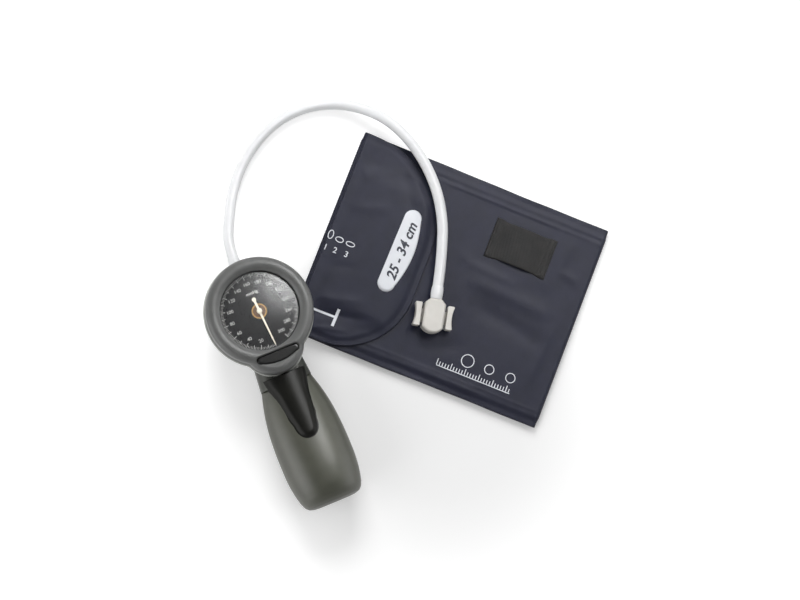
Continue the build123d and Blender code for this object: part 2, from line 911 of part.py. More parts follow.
hub_foot = needle_low - hub_foot_drop
with BuildPart() as needle_hub:
    with BuildSketch(facing(head)):
        Polygon(
            (0, hub_foot),
            (hub_neck, hub_foot),
            (hub_neck, needle_top),
            (hub_radius, needle_top),
            (hub_radius, needle_top + hub_shoulder),
            (hub_crown, needle_top + hub_cap),
            (0, needle_top + hub_cap),
            align=None,
        )
    revolve(axis=head_axis)
    add(ring(head, spindle_radius + seat_gap / 2, hub_foot, needle_top + seat_gap), mode=Mode.SUBTRACT)
save(needle_hub.part, "needle_hub")

upper_jewel_low = tube_top - jewel_inset - jewel_thickness
collar_low = tube_bottom + jewel_thickness + collar_lift
with BuildPart() as spindle:
    add(ring(head, spindle_radius, spindle_foot, needle_top))
    add(ring(head, collar_radius, collar_low, collar_low + collar_height))
save(spindle.part, "spindle")

# Movement: tube with its jewels, bridge, ribbon
tube_bore = tube_radius - tube_wall
tube_hole = tube_radius + seat_gap
with BuildPart() as cartridge_tube:
    add(ring(head, tube_radius, tube_bottom, tube_top, tube_bore))
    add(ring(head, tube_flange_radius, bridge_top, bridge_top + tube_flange_thickness, tube_bore))
save(cartridge_tube.part, "cartridge_tube")

jewel_radius = tube_bore - seat_gap
jewel_hole = spindle_radius + running_gap
for jewel_low, jewel_name in ((tube_bottom, "lower_jewel"), (upper_jewel_low, "upper_jewel")):
    save(ring(head, jewel_radius, jewel_low, jewel_low + jewel_thickness, jewel_hole), jewel_name)

post_turn = 180 / retaining_screw_count
with BuildPart() as movement_bridge:
    with BuildSketch(head.offset(bridge_low)):
        Circle(bridge_radius)
        Circle(tube_hole, mode=Mode.SUBTRACT)
    extrude(amount=bridge_thickness)
    with BuildSketch(head.offset(ring_top)):
        with PolarLocations(screw_circle, bridge_post_count, start_angle=post_turn):
            Circle(post_radius)
        Circle(barrel_radius - seat_gap, mode=Mode.INTERSECT)
    extrude(amount=bridge_low - ring_top)
    with BuildSketch(head.offset(ring_top)):
        with PolarLocations(screw_circle, bridge_post_count, start_angle=post_turn):
            Circle(screw_radius + seat_gap)
    extrude(amount=bridge_top - ring_top, mode=Mode.SUBTRACT)
save(movement_bridge.part, "movement_bridge")


def screw_ring(height, count, bite, start_angle=0.0):
    """Small screws on the movement's screw circle, their heads at a height."""
    with BuildPart() as screws:
        with Locations(head.offset(height)):
            with PolarLocations(screw_circle, count, start_angle=start_angle):
                add(screw(Plane.XY, bite))
    return screws.part


ring_bite = retaining_ring_thickness - seat_gap
bridge_bite = bridge_top - ring_top + ring_bite
retaining_bite = ring_top - capsule_seat + screw_bite - seat_gap
save(screw_ring(bridge_top, bridge_post_count, bridge_bite, post_turn), "bridge_screws")
save(screw_ring(ring_top, retaining_screw_count, retaining_bite), "retaining_screws")


def clamped_ring(low, high, inner, outer, bridge_holes=True):
    """A ring under the movement, with its screws' holes."""
    with BuildPart() as piece:
        with BuildSketch(head.offset(low)):
            Circle(outer)
            if inner > 0:
                Circle(inner, mode=Mode.SUBTRACT)
            with PolarLocations(screw_circle, retaining_screw_count):
                Circle(screw_radius + seat_gap, mode=Mode.SUBTRACT)
            if bridge_holes:
                with PolarLocations(screw_circle, bridge_post_count, start_angle=post_turn):
                    Circle(screw_radius + seat_gap, mode=Mode.SUBTRACT)
        extrude(amount=high - low)
    return piece.part


ring_outer = barrel_radius - seat_gap
save(clamped_ring(capsule_seat, diaphragm_low, ring_bore, diaphragm_radius, False), "diaphragm_seal")
save(clamped_ring(diaphragm_top, ring_top, ring_bore, ring_outer), "retaining_ring")

with BuildPart() as diaphragm:
    half_pitch = corrugation_pitch / 2
    corrugation_end = corrugation_start + corrugations * corrugation_pitch
    add(clamped_ring(diaphragm_low, diaphragm_top, corrugation_end, diaphragm_radius, False))
    add(ring(head, corrugation_start, diaphragm_low, diaphragm_top))
    with BuildSketch(facing(head)):
        for index in range(2 * corrugations):
            start = corrugation_start + index * half_pitch
            middle = start + half_pitch / 2
            end = start + half_pitch
            crest = corrugation_rise if index % 2 == 0 else -corrugation_rise
            with BuildLine():
                ThreePointArc((start, diaphragm_low), (middle, diaphragm_low + crest), (end, diaphragm_low))
                Line((end, diaphragm_low), (end, diaphragm_top))
                ThreePointArc((end, diaphragm_top), (middle, diaphragm_top + crest), (start, diaphragm_top))
                Line((start, diaphragm_top), (start, diaphragm_low))
            make_face()
    revolve(axis=head_axis)
save(diaphragm.part, "diaphragm")

with BuildPart() as diaphragm_pan:
    add(ring(head, pan_radius, diaphragm_top, pan_top))
    add(ring(head, pan_boss_radius, pan_top, pan_top + pan_boss_height))
    cup_radius = spindle_radius + running_gap
    add(ring(head, cup_radius, spindle_foot, pan_top + pan_boss_height), mode=Mode.SUBTRACT)
save(diaphragm_pan.part, "diaphragm_pan")

with BuildPart() as ribbon_spring:
    ribbon_radius = collar_radius + ribbon_thickness / 2 + seat_gap
    with BuildLine():
        ribbon_path = Helix(
            ribbon_pitch,
            ribbon_turns * ribbon_pitch,
            ribbon_radius,
            center=head.offset(collar_low + ribbon_width / 2).origin,
            direction=(0, 0, 1),
        )
    with BuildSketch(Plane(origin=ribbon_path @ 0, x_dir=(1, 0, 0), z_dir=ribbon_path % 0)):
        Rectangle(ribbon_thickness, ribbon_width)
    sweep(is_frenet=True)
save(ribbon_spring.part, "ribbon_spring")

# Bulb, drawn as ovals along the handle


def bulb_form(inset, start, end, stations):
    """A loft through ovals between two reaches, each inset from the bulb's outside."""
    with BuildPart() as form:
        for station, width, depth in stations:
            with BuildSketch(facing(head, start + station * (end - start), handle_height)):
                Ellipse(bulb_half * width - inset, bulb_half_depth * depth - inset)
        loft()
    return form.part


mouth_half = bulb_half * bulb_sections[0][1] - bulb_wall
mouth_half_depth = bulb_half_depth * bulb_sections[0][2] - bulb_wall
intake_hole = intake_neck_radius + seat_gap
cavity_sections = bulb_sections[1:-2]
cavity_end = neck_end + (bulb_end - bulb_end_wall - neck_end) / cavity_sections[-1][0]
with BuildPart() as bulb:
    add(bulb_form(0, neck_end, bulb_end, bulb_sections))
    add(bulb_form(bulb_wall, neck_end, cavity_end, cavity_sections), mode=Mode.SUBTRACT)
    with BuildSketch(facing(head, neck_end, handle_height)):
        Ellipse(mouth_half, mouth_half_depth)
    extrude(amount=bulb_mouth_depth, mode=Mode.SUBTRACT)
    add(plug(facing(head, neck_end, handle_height), intake_hole, bulb_end), mode=Mode.SUBTRACT)
save(bulb.part, "bulb")

# Handle frame: the neck under the head, its two shoulders, and the spigot inside the bulb's mouth
neck_low = air_height - union_radius - neck_floor
neck_high = handle_height + neck_rise
neck_middle = (neck_low + neck_high) / 2
spigot_end = neck_end + bulb_spigot
outlet_seat_start = spigot_end - outlet_seat_thickness
outlet_pocket_start = outlet_seat_start - outlet_pocket_depth
sleeve_top = air_height - air_passage - valve_drop
sleeve_hole = valve_sleeve_radius + seat_gap
valve_pocket_top = sleeve_top + valve_pocket_height + valve_head_height
cover_screw_sites = [
    (side * cover_screw_side, -reach) for side in (-1, 1) for reach in cover_screw_reaches
]


def neck_form():
    """The neck as a solid, widening from the head to the bulb."""
    with BuildPart() as form:
        with BuildSketch(facing(head, neck_start, neck_middle)):
            RectangleRounded(2 * neck_half, neck_high - neck_low, neck_round)
        with BuildSketch(facing(head, neck_end, neck_middle)):
            RectangleRounded(2 * wing_half, neck_high - neck_low, neck_round)
        loft(ruled=True)
    return form.part


with BuildPart() as handle_frame:
    add(neck_form())
    add(case_form(seat_gap), mode=Mode.SUBTRACT)
    with BuildSketch(head.offset(bumper_low - seat_gap)):
        add(bumper_outline(bumper_lip + seat_gap))
    extrude(amount=bumper_height, mode=Mode.SUBTRACT)
    with BuildSketch(facing(head, neck_end, handle_height)):
        Ellipse(mouth_half - seat_gap, mouth_half_depth - seat_gap)
    extrude(amount=bulb_spigot)
    add(plug(facing(head, 0, air_height), union_hole, union_end), mode=Mode.SUBTRACT)
    lower_run = cross_reach - union_end
    add(plug(facing(head, union_end, air_height), air_passage, lower_run), mode=Mode.SUBTRACT)
    with BuildSketch(head.offset(air_height)):
        with Locations((0, -cross_reach)):
            Circle(cross_bore)
    extrude(amount=handle_height - air_height, mode=Mode.SUBTRACT)
    upper_run = outlet_pocket_start - cross_reach
    add(plug(facing(head, cross_reach, handle_height), air_passage, upper_run), mode=Mode.SUBTRACT)
    outlet_pocket = facing(head, outlet_pocket_start, handle_height)
    add(plug(outlet_pocket, outlet_pocket_radius, outlet_pocket_depth), mode=Mode.SUBTRACT)
    outlet_seat = facing(head, outlet_seat_start, handle_height)
    add(plug(outlet_seat, outlet_seat_radius + seat_gap, outlet_seat_thickness), mode=Mode.SUBTRACT)
    with BuildSketch(head.offset(neck_low)):
        with Locations((0, -valve_reach)):
            Circle(sleeve_hole)
    extrude(amount=sleeve_top - neck_low, mode=Mode.SUBTRACT)
    with BuildSketch(head.offset(sleeve_top)):
        with Locations((0, -valve_reach)):
            Circle(valve_pocket_radius)
    extrude(amount=valve_pocket_top - sleeve_top, mode=Mode.SUBTRACT)
    with BuildSketch(head.offset(neck_low)):
        with Locations(*cover_screw_sites):
            Circle(screw_radius + seat_gap)
    extrude(amount=cover_screw_bite, mode=Mode.SUBTRACT)
save(handle_frame.part, "handle_frame")

union_length = union_end - union_start
save(plug(facing(head, union_start, air_height), union_radius, union_length, union_bore), "neck_union")

# Front spine: an arched tongue over the neck and the bulb, narrowing to a round tip
spine_start = spine_sections[0][0]
spine_tip = spine_end - spine_tip_radius
with BuildPart() as front_spine:
    for reach, half, half_depth in spine_sections:
        with BuildSketch(facing(head, reach, handle_height)):
            Ellipse(half, half_depth)
    loft()
    with BuildSketch(head.offset(handle_height)):
        with BuildLine():
            Polyline(
                (-spine_tip_radius, -spine_tip),
                (-spine_waist_half, -spine_waist),
                (-spine_half, -spine_start),
                (spine_half, -spine_start),
                (spine_waist_half, -spine_waist),
                (spine_tip_radius, -spine_tip),
            )
            ThreePointArc((spine_tip_radius, -spine_tip), (0, -spine_end), (-spine_tip_radius, -spine_tip))
        make_face()
    extrude(amount=2 * bulb_half_depth, mode=Mode.INTERSECT)
    add(bulb_form(-soft_gap, neck_end - seat_gap, bulb_end, bulb_sections), mode=Mode.SUBTRACT)
    add(neck_form(), mode=Mode.SUBTRACT)
save(front_spine.part, "front_spine")

# Neck cover: two cheeks and a bridge that carry the trigger's pin
cheek = trigger_half + soft_gap
pin_hole = trigger_pin_radius + seat_gap
with BuildPart() as neck_cover:
    with BuildSketch(head.offset(cover_bottom)):
        with Locations((0, -(cover_start + cover_end) / 2)):
            RectangleRounded(2 * cover_half, cover_end - cover_start, cover_bridge / 2)
        with Locations((0, -(cover_start + cover_bridge + cover_end) / 2)):
            Rectangle(2 * cheek, cover_end - cover_start - cover_bridge, mode=Mode.SUBTRACT)
    extrude(amount=neck_low - cover_bottom)
    with BuildSketch(sideways(head, -cover_half)):
        with Locations((-trigger_pin_reach, trigger_pin_height)):
            Circle(pin_hole)
    extrude(amount=2 * cover_half, mode=Mode.SUBTRACT)
    with BuildSketch(head.offset(cover_bottom)):
        with Locations(*cover_screw_sites):
            Circle(screw_radius + seat_gap)
    extrude(amount=neck_low - cover_bottom, mode=Mode.SUBTRACT)
save(neck_cover.part, "neck_cover")

with BuildPart() as cover_screws:
    for side, reach in cover_screw_sites:
        foot = Plane(
            origin=head.from_local_coords((side, reach, cover_bottom)), x_dir=head.x_dir, z_dir=(0, 0, -1)
        )
        add(screw(foot, neck_low - cover_bottom + cover_screw_bite - seat_gap))
save(cover_screws.part, "cover_screws")

save(
    plug(
        Plane(
            origin=head.from_local_coords((-cover_half, -trigger_pin_reach, trigger_pin_height)),
            x_dir=head.y_dir,
            z_dir=head.x_dir,
        ),
        trigger_pin_radius,
        2 * cover_half,
    ),
    "trigger_pin",
)

trigger_top = trigger_bottom + trigger_thickness
pad_top = trigger_top + trigger_pad_rise
with BuildPart() as trigger:
    with BuildSketch(sideways(head, -trigger_half)):
        with Locations((-trigger_pin_reach, trigger_pin_height)):
            Circle(trigger_hub)
        Polygon(
            (trigger_web - trigger_pin_reach, trigger_pin_height - trigger_web),
            (-trigger_pin_reach - trigger_hub, trigger_bottom),
            (-trigger_end, trigger_bottom),
            (-trigger_end, trigger_top),
            (-valve_reach - 2 * trigger_pad, trigger_top),
            (-valve_reach - trigger_pad, pad_top),
            (-valve_reach + trigger_pad, pad_top),
            (-trigger_pin_reach - trigger_web, trigger_pin_height + trigger_web),
            align=None,
        )
        with Locations((-trigger_pin_reach, trigger_pin_height)):
            Circle(trigger_pin_radius + running_gap, mode=Mode.SUBTRACT)
    extrude(amount=2 * trigger_half)
    tip_edges = trigger.faces().sort_by(Axis(head.origin, -head.y_dir))[-1].edges()
    fillet(tip_edges.filter_by(Axis.Z), trigger_half / 2)
save(trigger.part, "trigger")

leaf_low = trigger_top + soft_gap
with BuildPart() as trigger_spring:
    with BuildSketch(sideways(head, leaf_sides[0])):
        Polygon(
            (-leaf_reaches[0], neck_low),
            (-leaf_reaches[1], neck_low),
            (-leaf_reaches[2], leaf_low + leaf_thickness),
            (-leaf_reaches[2], leaf_low),
            (-leaf_reaches[1] + leaf_thickness, neck_low - leaf_thickness),
            (-leaf_reaches[0], neck_low - leaf_thickness),
            align=None,
        )
    extrude(amount=leaf_sides[1] - leaf_sides[0])
save(trigger_spring.part, "trigger_spring")

# Release valve: a sleeve in the neck, a headed stem that stands on the trigger, and its spring
valve_spot = head.from_local_coords((0, -valve_reach, 0))
valve = level_frame((valve_spot.X, valve_spot.Y), dial_turn)
stem_foot = pad_top + seat_gap
stem_bore = valve_stem_radius + valve_stem_play
save(ring(valve, valve_sleeve_radius, neck_low, sleeve_top, stem_bore), "valve_sleeve")
stem_top = sleeve_top + disc_rest_gap + valve_head_height
with BuildPart() as valve_stem:
    add(ring(valve, valve_stem_radius, stem_foot, stem_top))
    add(ring(valve, valve_head_radius, sleeve_top + disc_rest_gap, stem_top))
save(valve_stem.part, "valve_stem")
spring_seat = valve.offset(stem_top)
spring_length = valve_pocket_top - stem_top
save(
    coil(spring_seat, valve_spring_radius, valve_spring_wire, valve_spring_turns, spring_length),
    "valve_spring",
)

# Check valves: the outlet in the spigot, the intake in the bulb's end
save(plug(outlet_seat, outlet_seat_radius, outlet_seat_thickness, outlet_seat_hole), "outlet_valve_seat")
outlet_disc = facing(head, outlet_seat_start - disc_rest_gap - disc_thickness, handle_height)
save(plug(outlet_disc, outlet_disc_radius, disc_thickness), "outlet_valve_disc")

intake_length = bulb_end_wall + intake_head_length
intake_inner = bulb_end - intake_length
intake_pocket_start = intake_inner + (intake_head_length - intake_pocket_depth) / 2
with BuildPart() as intake_valve_body:
    intake_base = facing(head, intake_inner, handle_height)
    intake_pocket = facing(head, intake_pocket_start, handle_height)
    add(plug(intake_base, intake_neck_radius, intake_length))
    add(plug(intake_base, intake_head_radius, intake_head_length - seat_gap))
    add(plug(intake_base, intake_lip_bore, intake_length), mode=Mode.SUBTRACT)
    add(plug(intake_pocket, intake_pocket_radius, intake_pocket_depth), mode=Mode.SUBTRACT)
save(intake_valve_body.part, "intake_valve_body")
intake_disc_start = intake_pocket_start + intake_pocket_depth - disc_rest_gap - disc_thickness
intake_disc = facing(head, intake_disc_start, handle_height)
save(plug(intake_disc, intake_disc_radius, disc_thickness), "intake_valve_disc")
filter_face = facing(head, bulb_end - filter_inset - filter_thickness, handle_height)
save(plug(filter_face, intake_lip_bore - seat_gap, filter_thickness), "intake_filter")

# Air hose, its route chosen from the barb on the head round to the connector
hose_start = hose_boss_reach + hose_collar
hose_route = [
    tuple(head.from_local_coords((0, hose_start, air_height))),
    tuple(head.from_local_coords((0, hose_start + hose_first_run, air_height))),
    (-120.6, 66.6, 10.5),
    (-118.2, 84.6, 5.4),
    (-112.2, 103.3, 3.8),
    (-101.5, 120.8, 3.7),
    (-87.0, 135.3, 3.8),
    (-69.4, 144.1, 3.7),
    (-50.8, 147.3, 4.2),
    (-32.2, 144.3, 7.4),
    (-14.6, 135.7, 13.2),
    (0.4, 122.1, 13.4),
    (12.2, 104.9, 12.6),
    (20.2, 84.9, 12.4),
    (23.2, 64.3, 12.3),
    (22.2, 46.9, 12.3),
    tuple(port.from_local_coords((0, half_body + hose_last_run, line_height))),
    tuple(port.from_local_coords((0, half_body, line_height))),
]


def hose_radii(points):
    """Each bend as wide as its two runs allow."""
    corners = [Vector(*point) for point in points]
    radii = []
    for before, here, after in zip(corners, corners[1:], corners[2:]):
        turn = (here - before).get_angle(after - here)
        shorter = min((here - before).length, (after - here).length)
        radii.append(0.45 * shorter / tan(radians(turn / 2)))
    return radii


hose_bends = hose_radii(hose_route)
print("hose bend radii", [round(radius, 1) for radius in hose_bends])
with BuildPart() as air_hose:
    with BuildLine() as hose_path:
        FilletPolyline(*hose_route, radius=hose_bends)
    with BuildSketch(Plane(origin=hose_path.wire() @ 0, z_dir=hose_path.wire() % 0)):
        Circle(hose_radius)
        Circle(hose_bore, mode=Mode.SUBTRACT)
    sweep()
hose_length = hose_path.wire().length
hose_section = pi * (hose_radius**2 - hose_bore**2)
hose_volumes = (round(air_hose.part.volume), round(hose_section * hose_length))
print("hose length", round(hose_length, 1), "volume and section times length", hose_volumes)
save(air_hose.part, "air_hose")
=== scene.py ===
# %% [markdown]
# # A blood-pressure gauge and its cuff
# An aneroid sphygmomanometer lies on a pale table: a round gauge on a squeeze handle, a soft
# air hose, and an arm cuff folded in three. The CAD model is the fixed frame here. Hard parts
# keep their CAD shape and get a finish, and the soft ones are drawn again as soft things.

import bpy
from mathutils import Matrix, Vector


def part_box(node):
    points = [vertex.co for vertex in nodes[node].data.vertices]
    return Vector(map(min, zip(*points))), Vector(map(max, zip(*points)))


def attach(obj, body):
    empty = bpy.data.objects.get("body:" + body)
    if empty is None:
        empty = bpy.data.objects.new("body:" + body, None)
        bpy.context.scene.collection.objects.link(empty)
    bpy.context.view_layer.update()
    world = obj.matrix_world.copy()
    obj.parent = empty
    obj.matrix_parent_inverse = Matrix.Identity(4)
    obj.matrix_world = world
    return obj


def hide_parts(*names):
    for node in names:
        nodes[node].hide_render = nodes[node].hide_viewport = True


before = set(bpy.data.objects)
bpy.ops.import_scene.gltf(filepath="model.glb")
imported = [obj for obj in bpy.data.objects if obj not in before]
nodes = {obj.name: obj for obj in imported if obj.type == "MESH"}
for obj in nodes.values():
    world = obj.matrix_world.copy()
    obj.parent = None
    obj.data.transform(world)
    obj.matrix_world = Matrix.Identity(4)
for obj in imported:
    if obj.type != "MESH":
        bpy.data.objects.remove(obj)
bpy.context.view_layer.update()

# %% Tools of the trade
from math import radians

import bmesh
import bpy
import numpy as np
from mathutils import Matrix

MM = 0.001

# %% [markdown]
# Three places carry everything: the gauge's axis, the cuff's middle and the port's axis. Each
# is read from a CAD node's box, so that a piece drawn in local millimetres lands on its part.

# %% Three places on the table


def middle_of(name):
    """The middle of a node's box, in millimetres."""
    low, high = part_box(name)
    return (np.array(low) + np.array(high)) / 2 / MM


head = (middle_of("dial_plate")[:2], radians(22.0))
cuff = (middle_of("cuff_wrap")[:2], radians(-22.0))
port = (middle_of("cuff_port")[:2], radians(-9.5))


def lay(points, place):
    """Turns local points about the upright, shifts them to the place, and gives metres."""
    spot, turn = place
    points = np.asarray(points, float)
    x = points[..., 0] * np.cos(turn) - points[..., 1] * np.sin(turn) + spot[0]
    y = points[..., 0] * np.sin(turn) + points[..., 1] * np.cos(turn) + spot[1]
    return np.stack([x, y, points[..., 2]], -1) * MM


print("gauge", head[0].round(2), "cuff", cuff[0].round(2), "port", port[0].round(2))

# %% [markdown]
# The camera stands almost straight above, ten degrees towards the lower left, with a long
# lens. A camera can be aimed with a constraint, but its three axes written as a matrix say
# the same thing with nothing left to solve, so the matrix is built here.

# %% Into the scene


def put(name, data):
    """A new object in the scene."""
    made = bpy.data.objects.new(name, data)
    bpy.context.scene.collection.objects.link(made)
    return made


def stand(thing, spot, back, side):
    """Stands an object at a spot: its z along back, its x along side as far as that is square to back."""
    side = np.asarray(side, float) - np.dot(side, back) * back
    side /= np.linalg.norm(side)
    place = np.eye(4)
    place[:3, :3] = np.stack([side, np.cross(back, side), back], 1)
    place[:3, 3] = spot
    thing.matrix_world = Matrix(place.tolist())


# %% The camera
camera_data = bpy.data.cameras.new("camera")
camera_data.lens = 120.3
camera_data.sensor_width = 36.0
camera_data.clip_start = 0.05
camera_data.clip_end = 20.0
camera = put("camera", camera_data)
bpy.context.scene.camera = camera
camera_target = np.array([-5.2, 13.9, 0.0]) * MM
camera_back = np.array([-0.12279, -0.12279, 0.98481])
camera_distance = 1.8
camera_spot = camera_target + camera_distance * camera_back
stand(camera, camera_spot, camera_back, (1.0, 0.0, 0.0))
print("camera at", camera_spot.round(4))

# %% [markdown]
# The air hose is a free cord, so it comes before everything else. It leaves the gauge at
# twelve o'clock, drops to the table, swings round, climbs over the cuff's edge and ends in
# the connector. It could be a mesh tube, but a NURBS curve through its route keeps it smooth.

# %% The air hose's line
hose_radius = 3.6
hose_route = [
    (-0.115262, 0.032297, 0.01395),
    (-0.121818, 0.048523, 0.01395),
    (-0.1206, 0.0666, 0.0105),
    (-0.1182, 0.0846, 0.0054),
    (-0.1122, 0.1033, 0.0038),
    (-0.1015, 0.1208, 0.0037),
    (-0.0870, 0.1353, 0.0038),
    (-0.0694, 0.1441, 0.0037),
    (-0.0508, 0.1473, 0.0042),
    (-0.0322, 0.1443, 0.0074),
    (-0.0146, 0.1357, 0.0132),
    (0.0004, 0.1221, 0.0134),
    (0.0122, 0.1049, 0.0126),
    (0.0202, 0.0849, 0.0124),
    (0.0232, 0.0643, 0.0123),
    (0.0222, 0.0469, 0.0123),
    (0.020381, 0.029671, 0.0123),
    (0.017575, 0.012904, 0.0123),
]
hose_curve = bpy.data.curves.new("hose", "CURVE")
hose_curve.dimensions = "3D"
hose_curve.bevel_depth = hose_radius * MM
hose_curve.bevel_resolution = 7
hose_curve.resolution_u = 14
hose_curve.use_fill_caps = True
hose_spline = hose_curve.splines.new("NURBS")
hose_spline.points.add(len(hose_route) - 1)
hose_spline.points.foreach_set("co", np.column_stack([hose_route, np.ones(len(hose_route))]).ravel())
hose_spline.order_u = 3
hose_spline.use_endpoint_u = True
hose = put("hose", hose_curve)

# %% [markdown]
# Every other piece starts as a grid of points. One helper works out the quads of a grid as
# whole arrays, another writes points and quads into a mesh, and the last few are the plain
# curves that the pieces are shaped with.

# %% From grids to meshes


def grid_quads(rows, columns, wrap_rows=False, wrap_columns=False):
    """Each quad takes a grid point, its right neighbour, and the two above these."""
    row = np.arange(rows if wrap_rows else rows - 1)
    column = np.arange(columns if wrap_columns else columns - 1)
    row, column = np.meshgrid(row, column, indexing="ij")
    above, right = (row + 1) % rows, (column + 1) % columns
    here, there = row * columns, above * columns
    return np.stack([here + column, here + right, there + right, there + column], -1).reshape(-1, 4)


def add_piece(name, points, faces, material, uv=None, closed=True):
    """Writes points in metres and faces into a piece, welds what coincides, and turns faces outwards."""
    points = np.asarray(points, float).reshape(-1, 3)
    mesh = bpy.data.meshes.new(name)
    mesh.from_pydata(points, [], faces.tolist())
    if uv is not None:
        corner_points = np.empty(len(mesh.loops), int)
        mesh.loops.foreach_get("vertex_index", corner_points)
        layer = mesh.uv_layers.new(name="UVMap")
        layer.data.foreach_set("uv", np.asarray(uv, float).reshape(-1, 2)[corner_points].ravel())
    shell = bmesh.new()
    shell.from_mesh(mesh)
    bmesh.ops.remove_doubles(shell, verts=shell.verts, dist=2e-6)
    bmesh.ops.dissolve_degenerate(shell, edges=shell.edges, dist=1e-7)
    if closed:
        bmesh.ops.recalc_face_normals(shell, faces=shell.faces)
    shell.to_mesh(mesh)
    shell.free()
    mesh.shade_smooth()
    mesh.materials.append(material)
    print(name, len(mesh.vertices), "points", len(mesh.polygons), "faces")
    return put(name, mesh)


def skin(name, points, place, material, wrap_rows=False, closed=True):
    """A piece from a grid of local points in millimetres, whose rows run round, laid at a place."""
    quads = grid_quads(*points.shape[:2], wrap_rows, wrap_columns=True)
    return add_piece(name, lay(points, place), quads, material, closed=closed)


def settle(piece, body, slot, *stands_for):
    """The piece rides on a body, and may stand for CAD nodes, which are hidden; the slot is not used."""
    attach(piece, body)
    if stands_for:
        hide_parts(*stands_for)


def spread(start, end, count, crowd=0.96):
    """Positions from start to end that crowd at both ends: t less a share of sin(2 pi t) / 2 pi."""
    t = np.linspace(0.0, 1.0, count)
    return start + (end - start) * (t - crowd * np.sin(2 * np.pi * t) / (2 * np.pi))


def ease(value, low, high):
    """Smoothly from 0 at low to 1 at high: 3 t squared less 2 t cubed."""
    t = np.clip((value - low) / (high - low), 0.0, 1.0)
    return t * t * (3 - 2 * t)


def bell(offset, width):
    """One at no offset, and less on either side: e to the minus square of offset over width."""
    return np.exp(-((offset / width) ** 2))


def dome(offset, power=2):
    """A rounded cap: the square root of one less the offset to a power, and nothing past one."""
    return np.sqrt(np.clip(1 - np.abs(offset) ** power, 0, 1))


def all_round(count):
    """Evenly spaced angles, all the way round."""
    return np.linspace(0, 2 * np.pi, count, endpoint=False)


def level(height):
    """A height function that gives the same everywhere."""
    return lambda x, y: height + 0 * (x + y)


# %% [markdown]
# ## Finishes
# Moulded plastic, rubber and metal are never one flat colour: the tone drifts over a few
# centimetres and the gloss breaks up in a fine grain. One node group holds that grain, and
# each material gives it its own size. A second group draws woven thread from a piece's UV map.

# %% Node helpers


def ink(red, green, blue):
    """A colour as a screen shows it, 0 to 255, turned into the linear values that a shader takes."""
    screen = np.array([red, green, blue]) / 255.0
    linear = np.where(screen <= 0.04045, screen / 12.92, ((screen + 0.055) / 1.055) ** 2.4)
    return (*linear.tolist(), 1.0)


def feed(tree, node, values):
    """Gives a node's inputs plain values, or links to other nodes' outputs."""
    for key, value in values.items():
        if isinstance(value, bpy.types.NodeSocket):
            tree.links.new(value, node.inputs[key])
        else:
            node.inputs[key].default_value = value


def add_node(tree, kind, values=None, **settings):
    """One shader node with its settings and whatever feeds its inputs."""
    made = tree.nodes.new("ShaderNode" + kind)
    for key, setting in settings.items():
        setattr(made, key, setting)
    feed(tree, made, values or {})
    return made


def sums(tree, operation, *terms):
    """One step of arithmetic on outputs and plain numbers."""
    return add_node(tree, "Math", dict(enumerate(terms)), operation=operation).outputs[0]


def ramp(tree, source, start, end, low, high, kind="LINEAR"):
    """Carries a value from start to end over to low to high."""
    span = {"Value": source, "From Min": start, "From Max": end, "To Min": low, "To Max": high}
    return add_node(tree, "MapRange", span, interpolation_type=kind).outputs["Result"]


def distance(tree, spot):
    """How far a shaded point lies from a spot."""
    where = add_node(tree, "TexCoord").outputs["Object"]
    return add_node(tree, "VectorMath", {0: where, 1: spot}, operation="DISTANCE").outputs["Value"]


def new_material(name):
    """A material with nodes, and its tree."""
    made = bpy.data.materials.new(name)
    made.use_nodes = True
    return made, made.node_tree


def new_group(name, inputs, outputs):
    """An empty node group with named inputs and outputs."""
    tree = bpy.data.node_groups.new(name, "ShaderNodeTree")
    for label, kind in inputs:
        tree.interface.new_socket(label, in_out="INPUT", socket_type="NodeSocket" + kind)
    for label in outputs:
        tree.interface.new_socket(label, in_out="OUTPUT", socket_type="NodeSocketFloat")
    return tree, tree.nodes.new("NodeGroupInput"), tree.nodes.new("NodeGroupOutput")


# %% The grain of moulded and turned things
grain_group, grain_in, grain_out = new_group(
    "grain", [("Vector", "Vector"), ("Cell", "Float")], ["Fine", "Broad"]
)
for label, cells, detail in (("Fine", 1.0, 2.0), ("Broad", 22.0, 3.0)):
    size = sums(grain_group, "DIVIDE", 1.0 / (cells * MM), grain_in.outputs["Cell"])
    cloud_feed = {"Vector": grain_in.outputs["Vector"], "Scale": size, "Detail": detail, "Roughness": 0.55}
    cloud = add_node(grain_group, "TexNoise", cloud_feed)
    feed(grain_group, grain_out, {label: cloud.outputs["Fac"]})

# %% The thread of woven things
weave_group, weave_in, weave_out = new_group(
    "weave", [("Vector", "Vector"), ("Along", "Float"), ("Across", "Float")], ["Height"]
)
weave_split = add_node(weave_group, "SeparateXYZ", {0: weave_in.outputs["Vector"]})
waves = []
for axis, label in (("X", "Along"), ("Y", "Across")):
    turns = sums(weave_group, "DIVIDE", weave_split.outputs[axis], weave_in.outputs[label])
    waves.append(sums(weave_group, "SINE", sums(weave_group, "MULTIPLY", turns, np.pi / MM)))
over_under = sums(weave_group, "MULTIPLY", *waves)
feed(weave_group, weave_out, {"Height": sums(weave_group, "MULTIPLY_ADD", over_under, 0.5, 0.5)})
print("groups", [group.name for group in bpy.data.node_groups])

# %% [markdown]
# A finish is a shader with two tones, a range of gloss and a shallow bump. The function below
# wires the grain into them. Cloth uses the same wiring with the thread's height on top.

# %% One finish
grain_span = (0.3, 0.7)


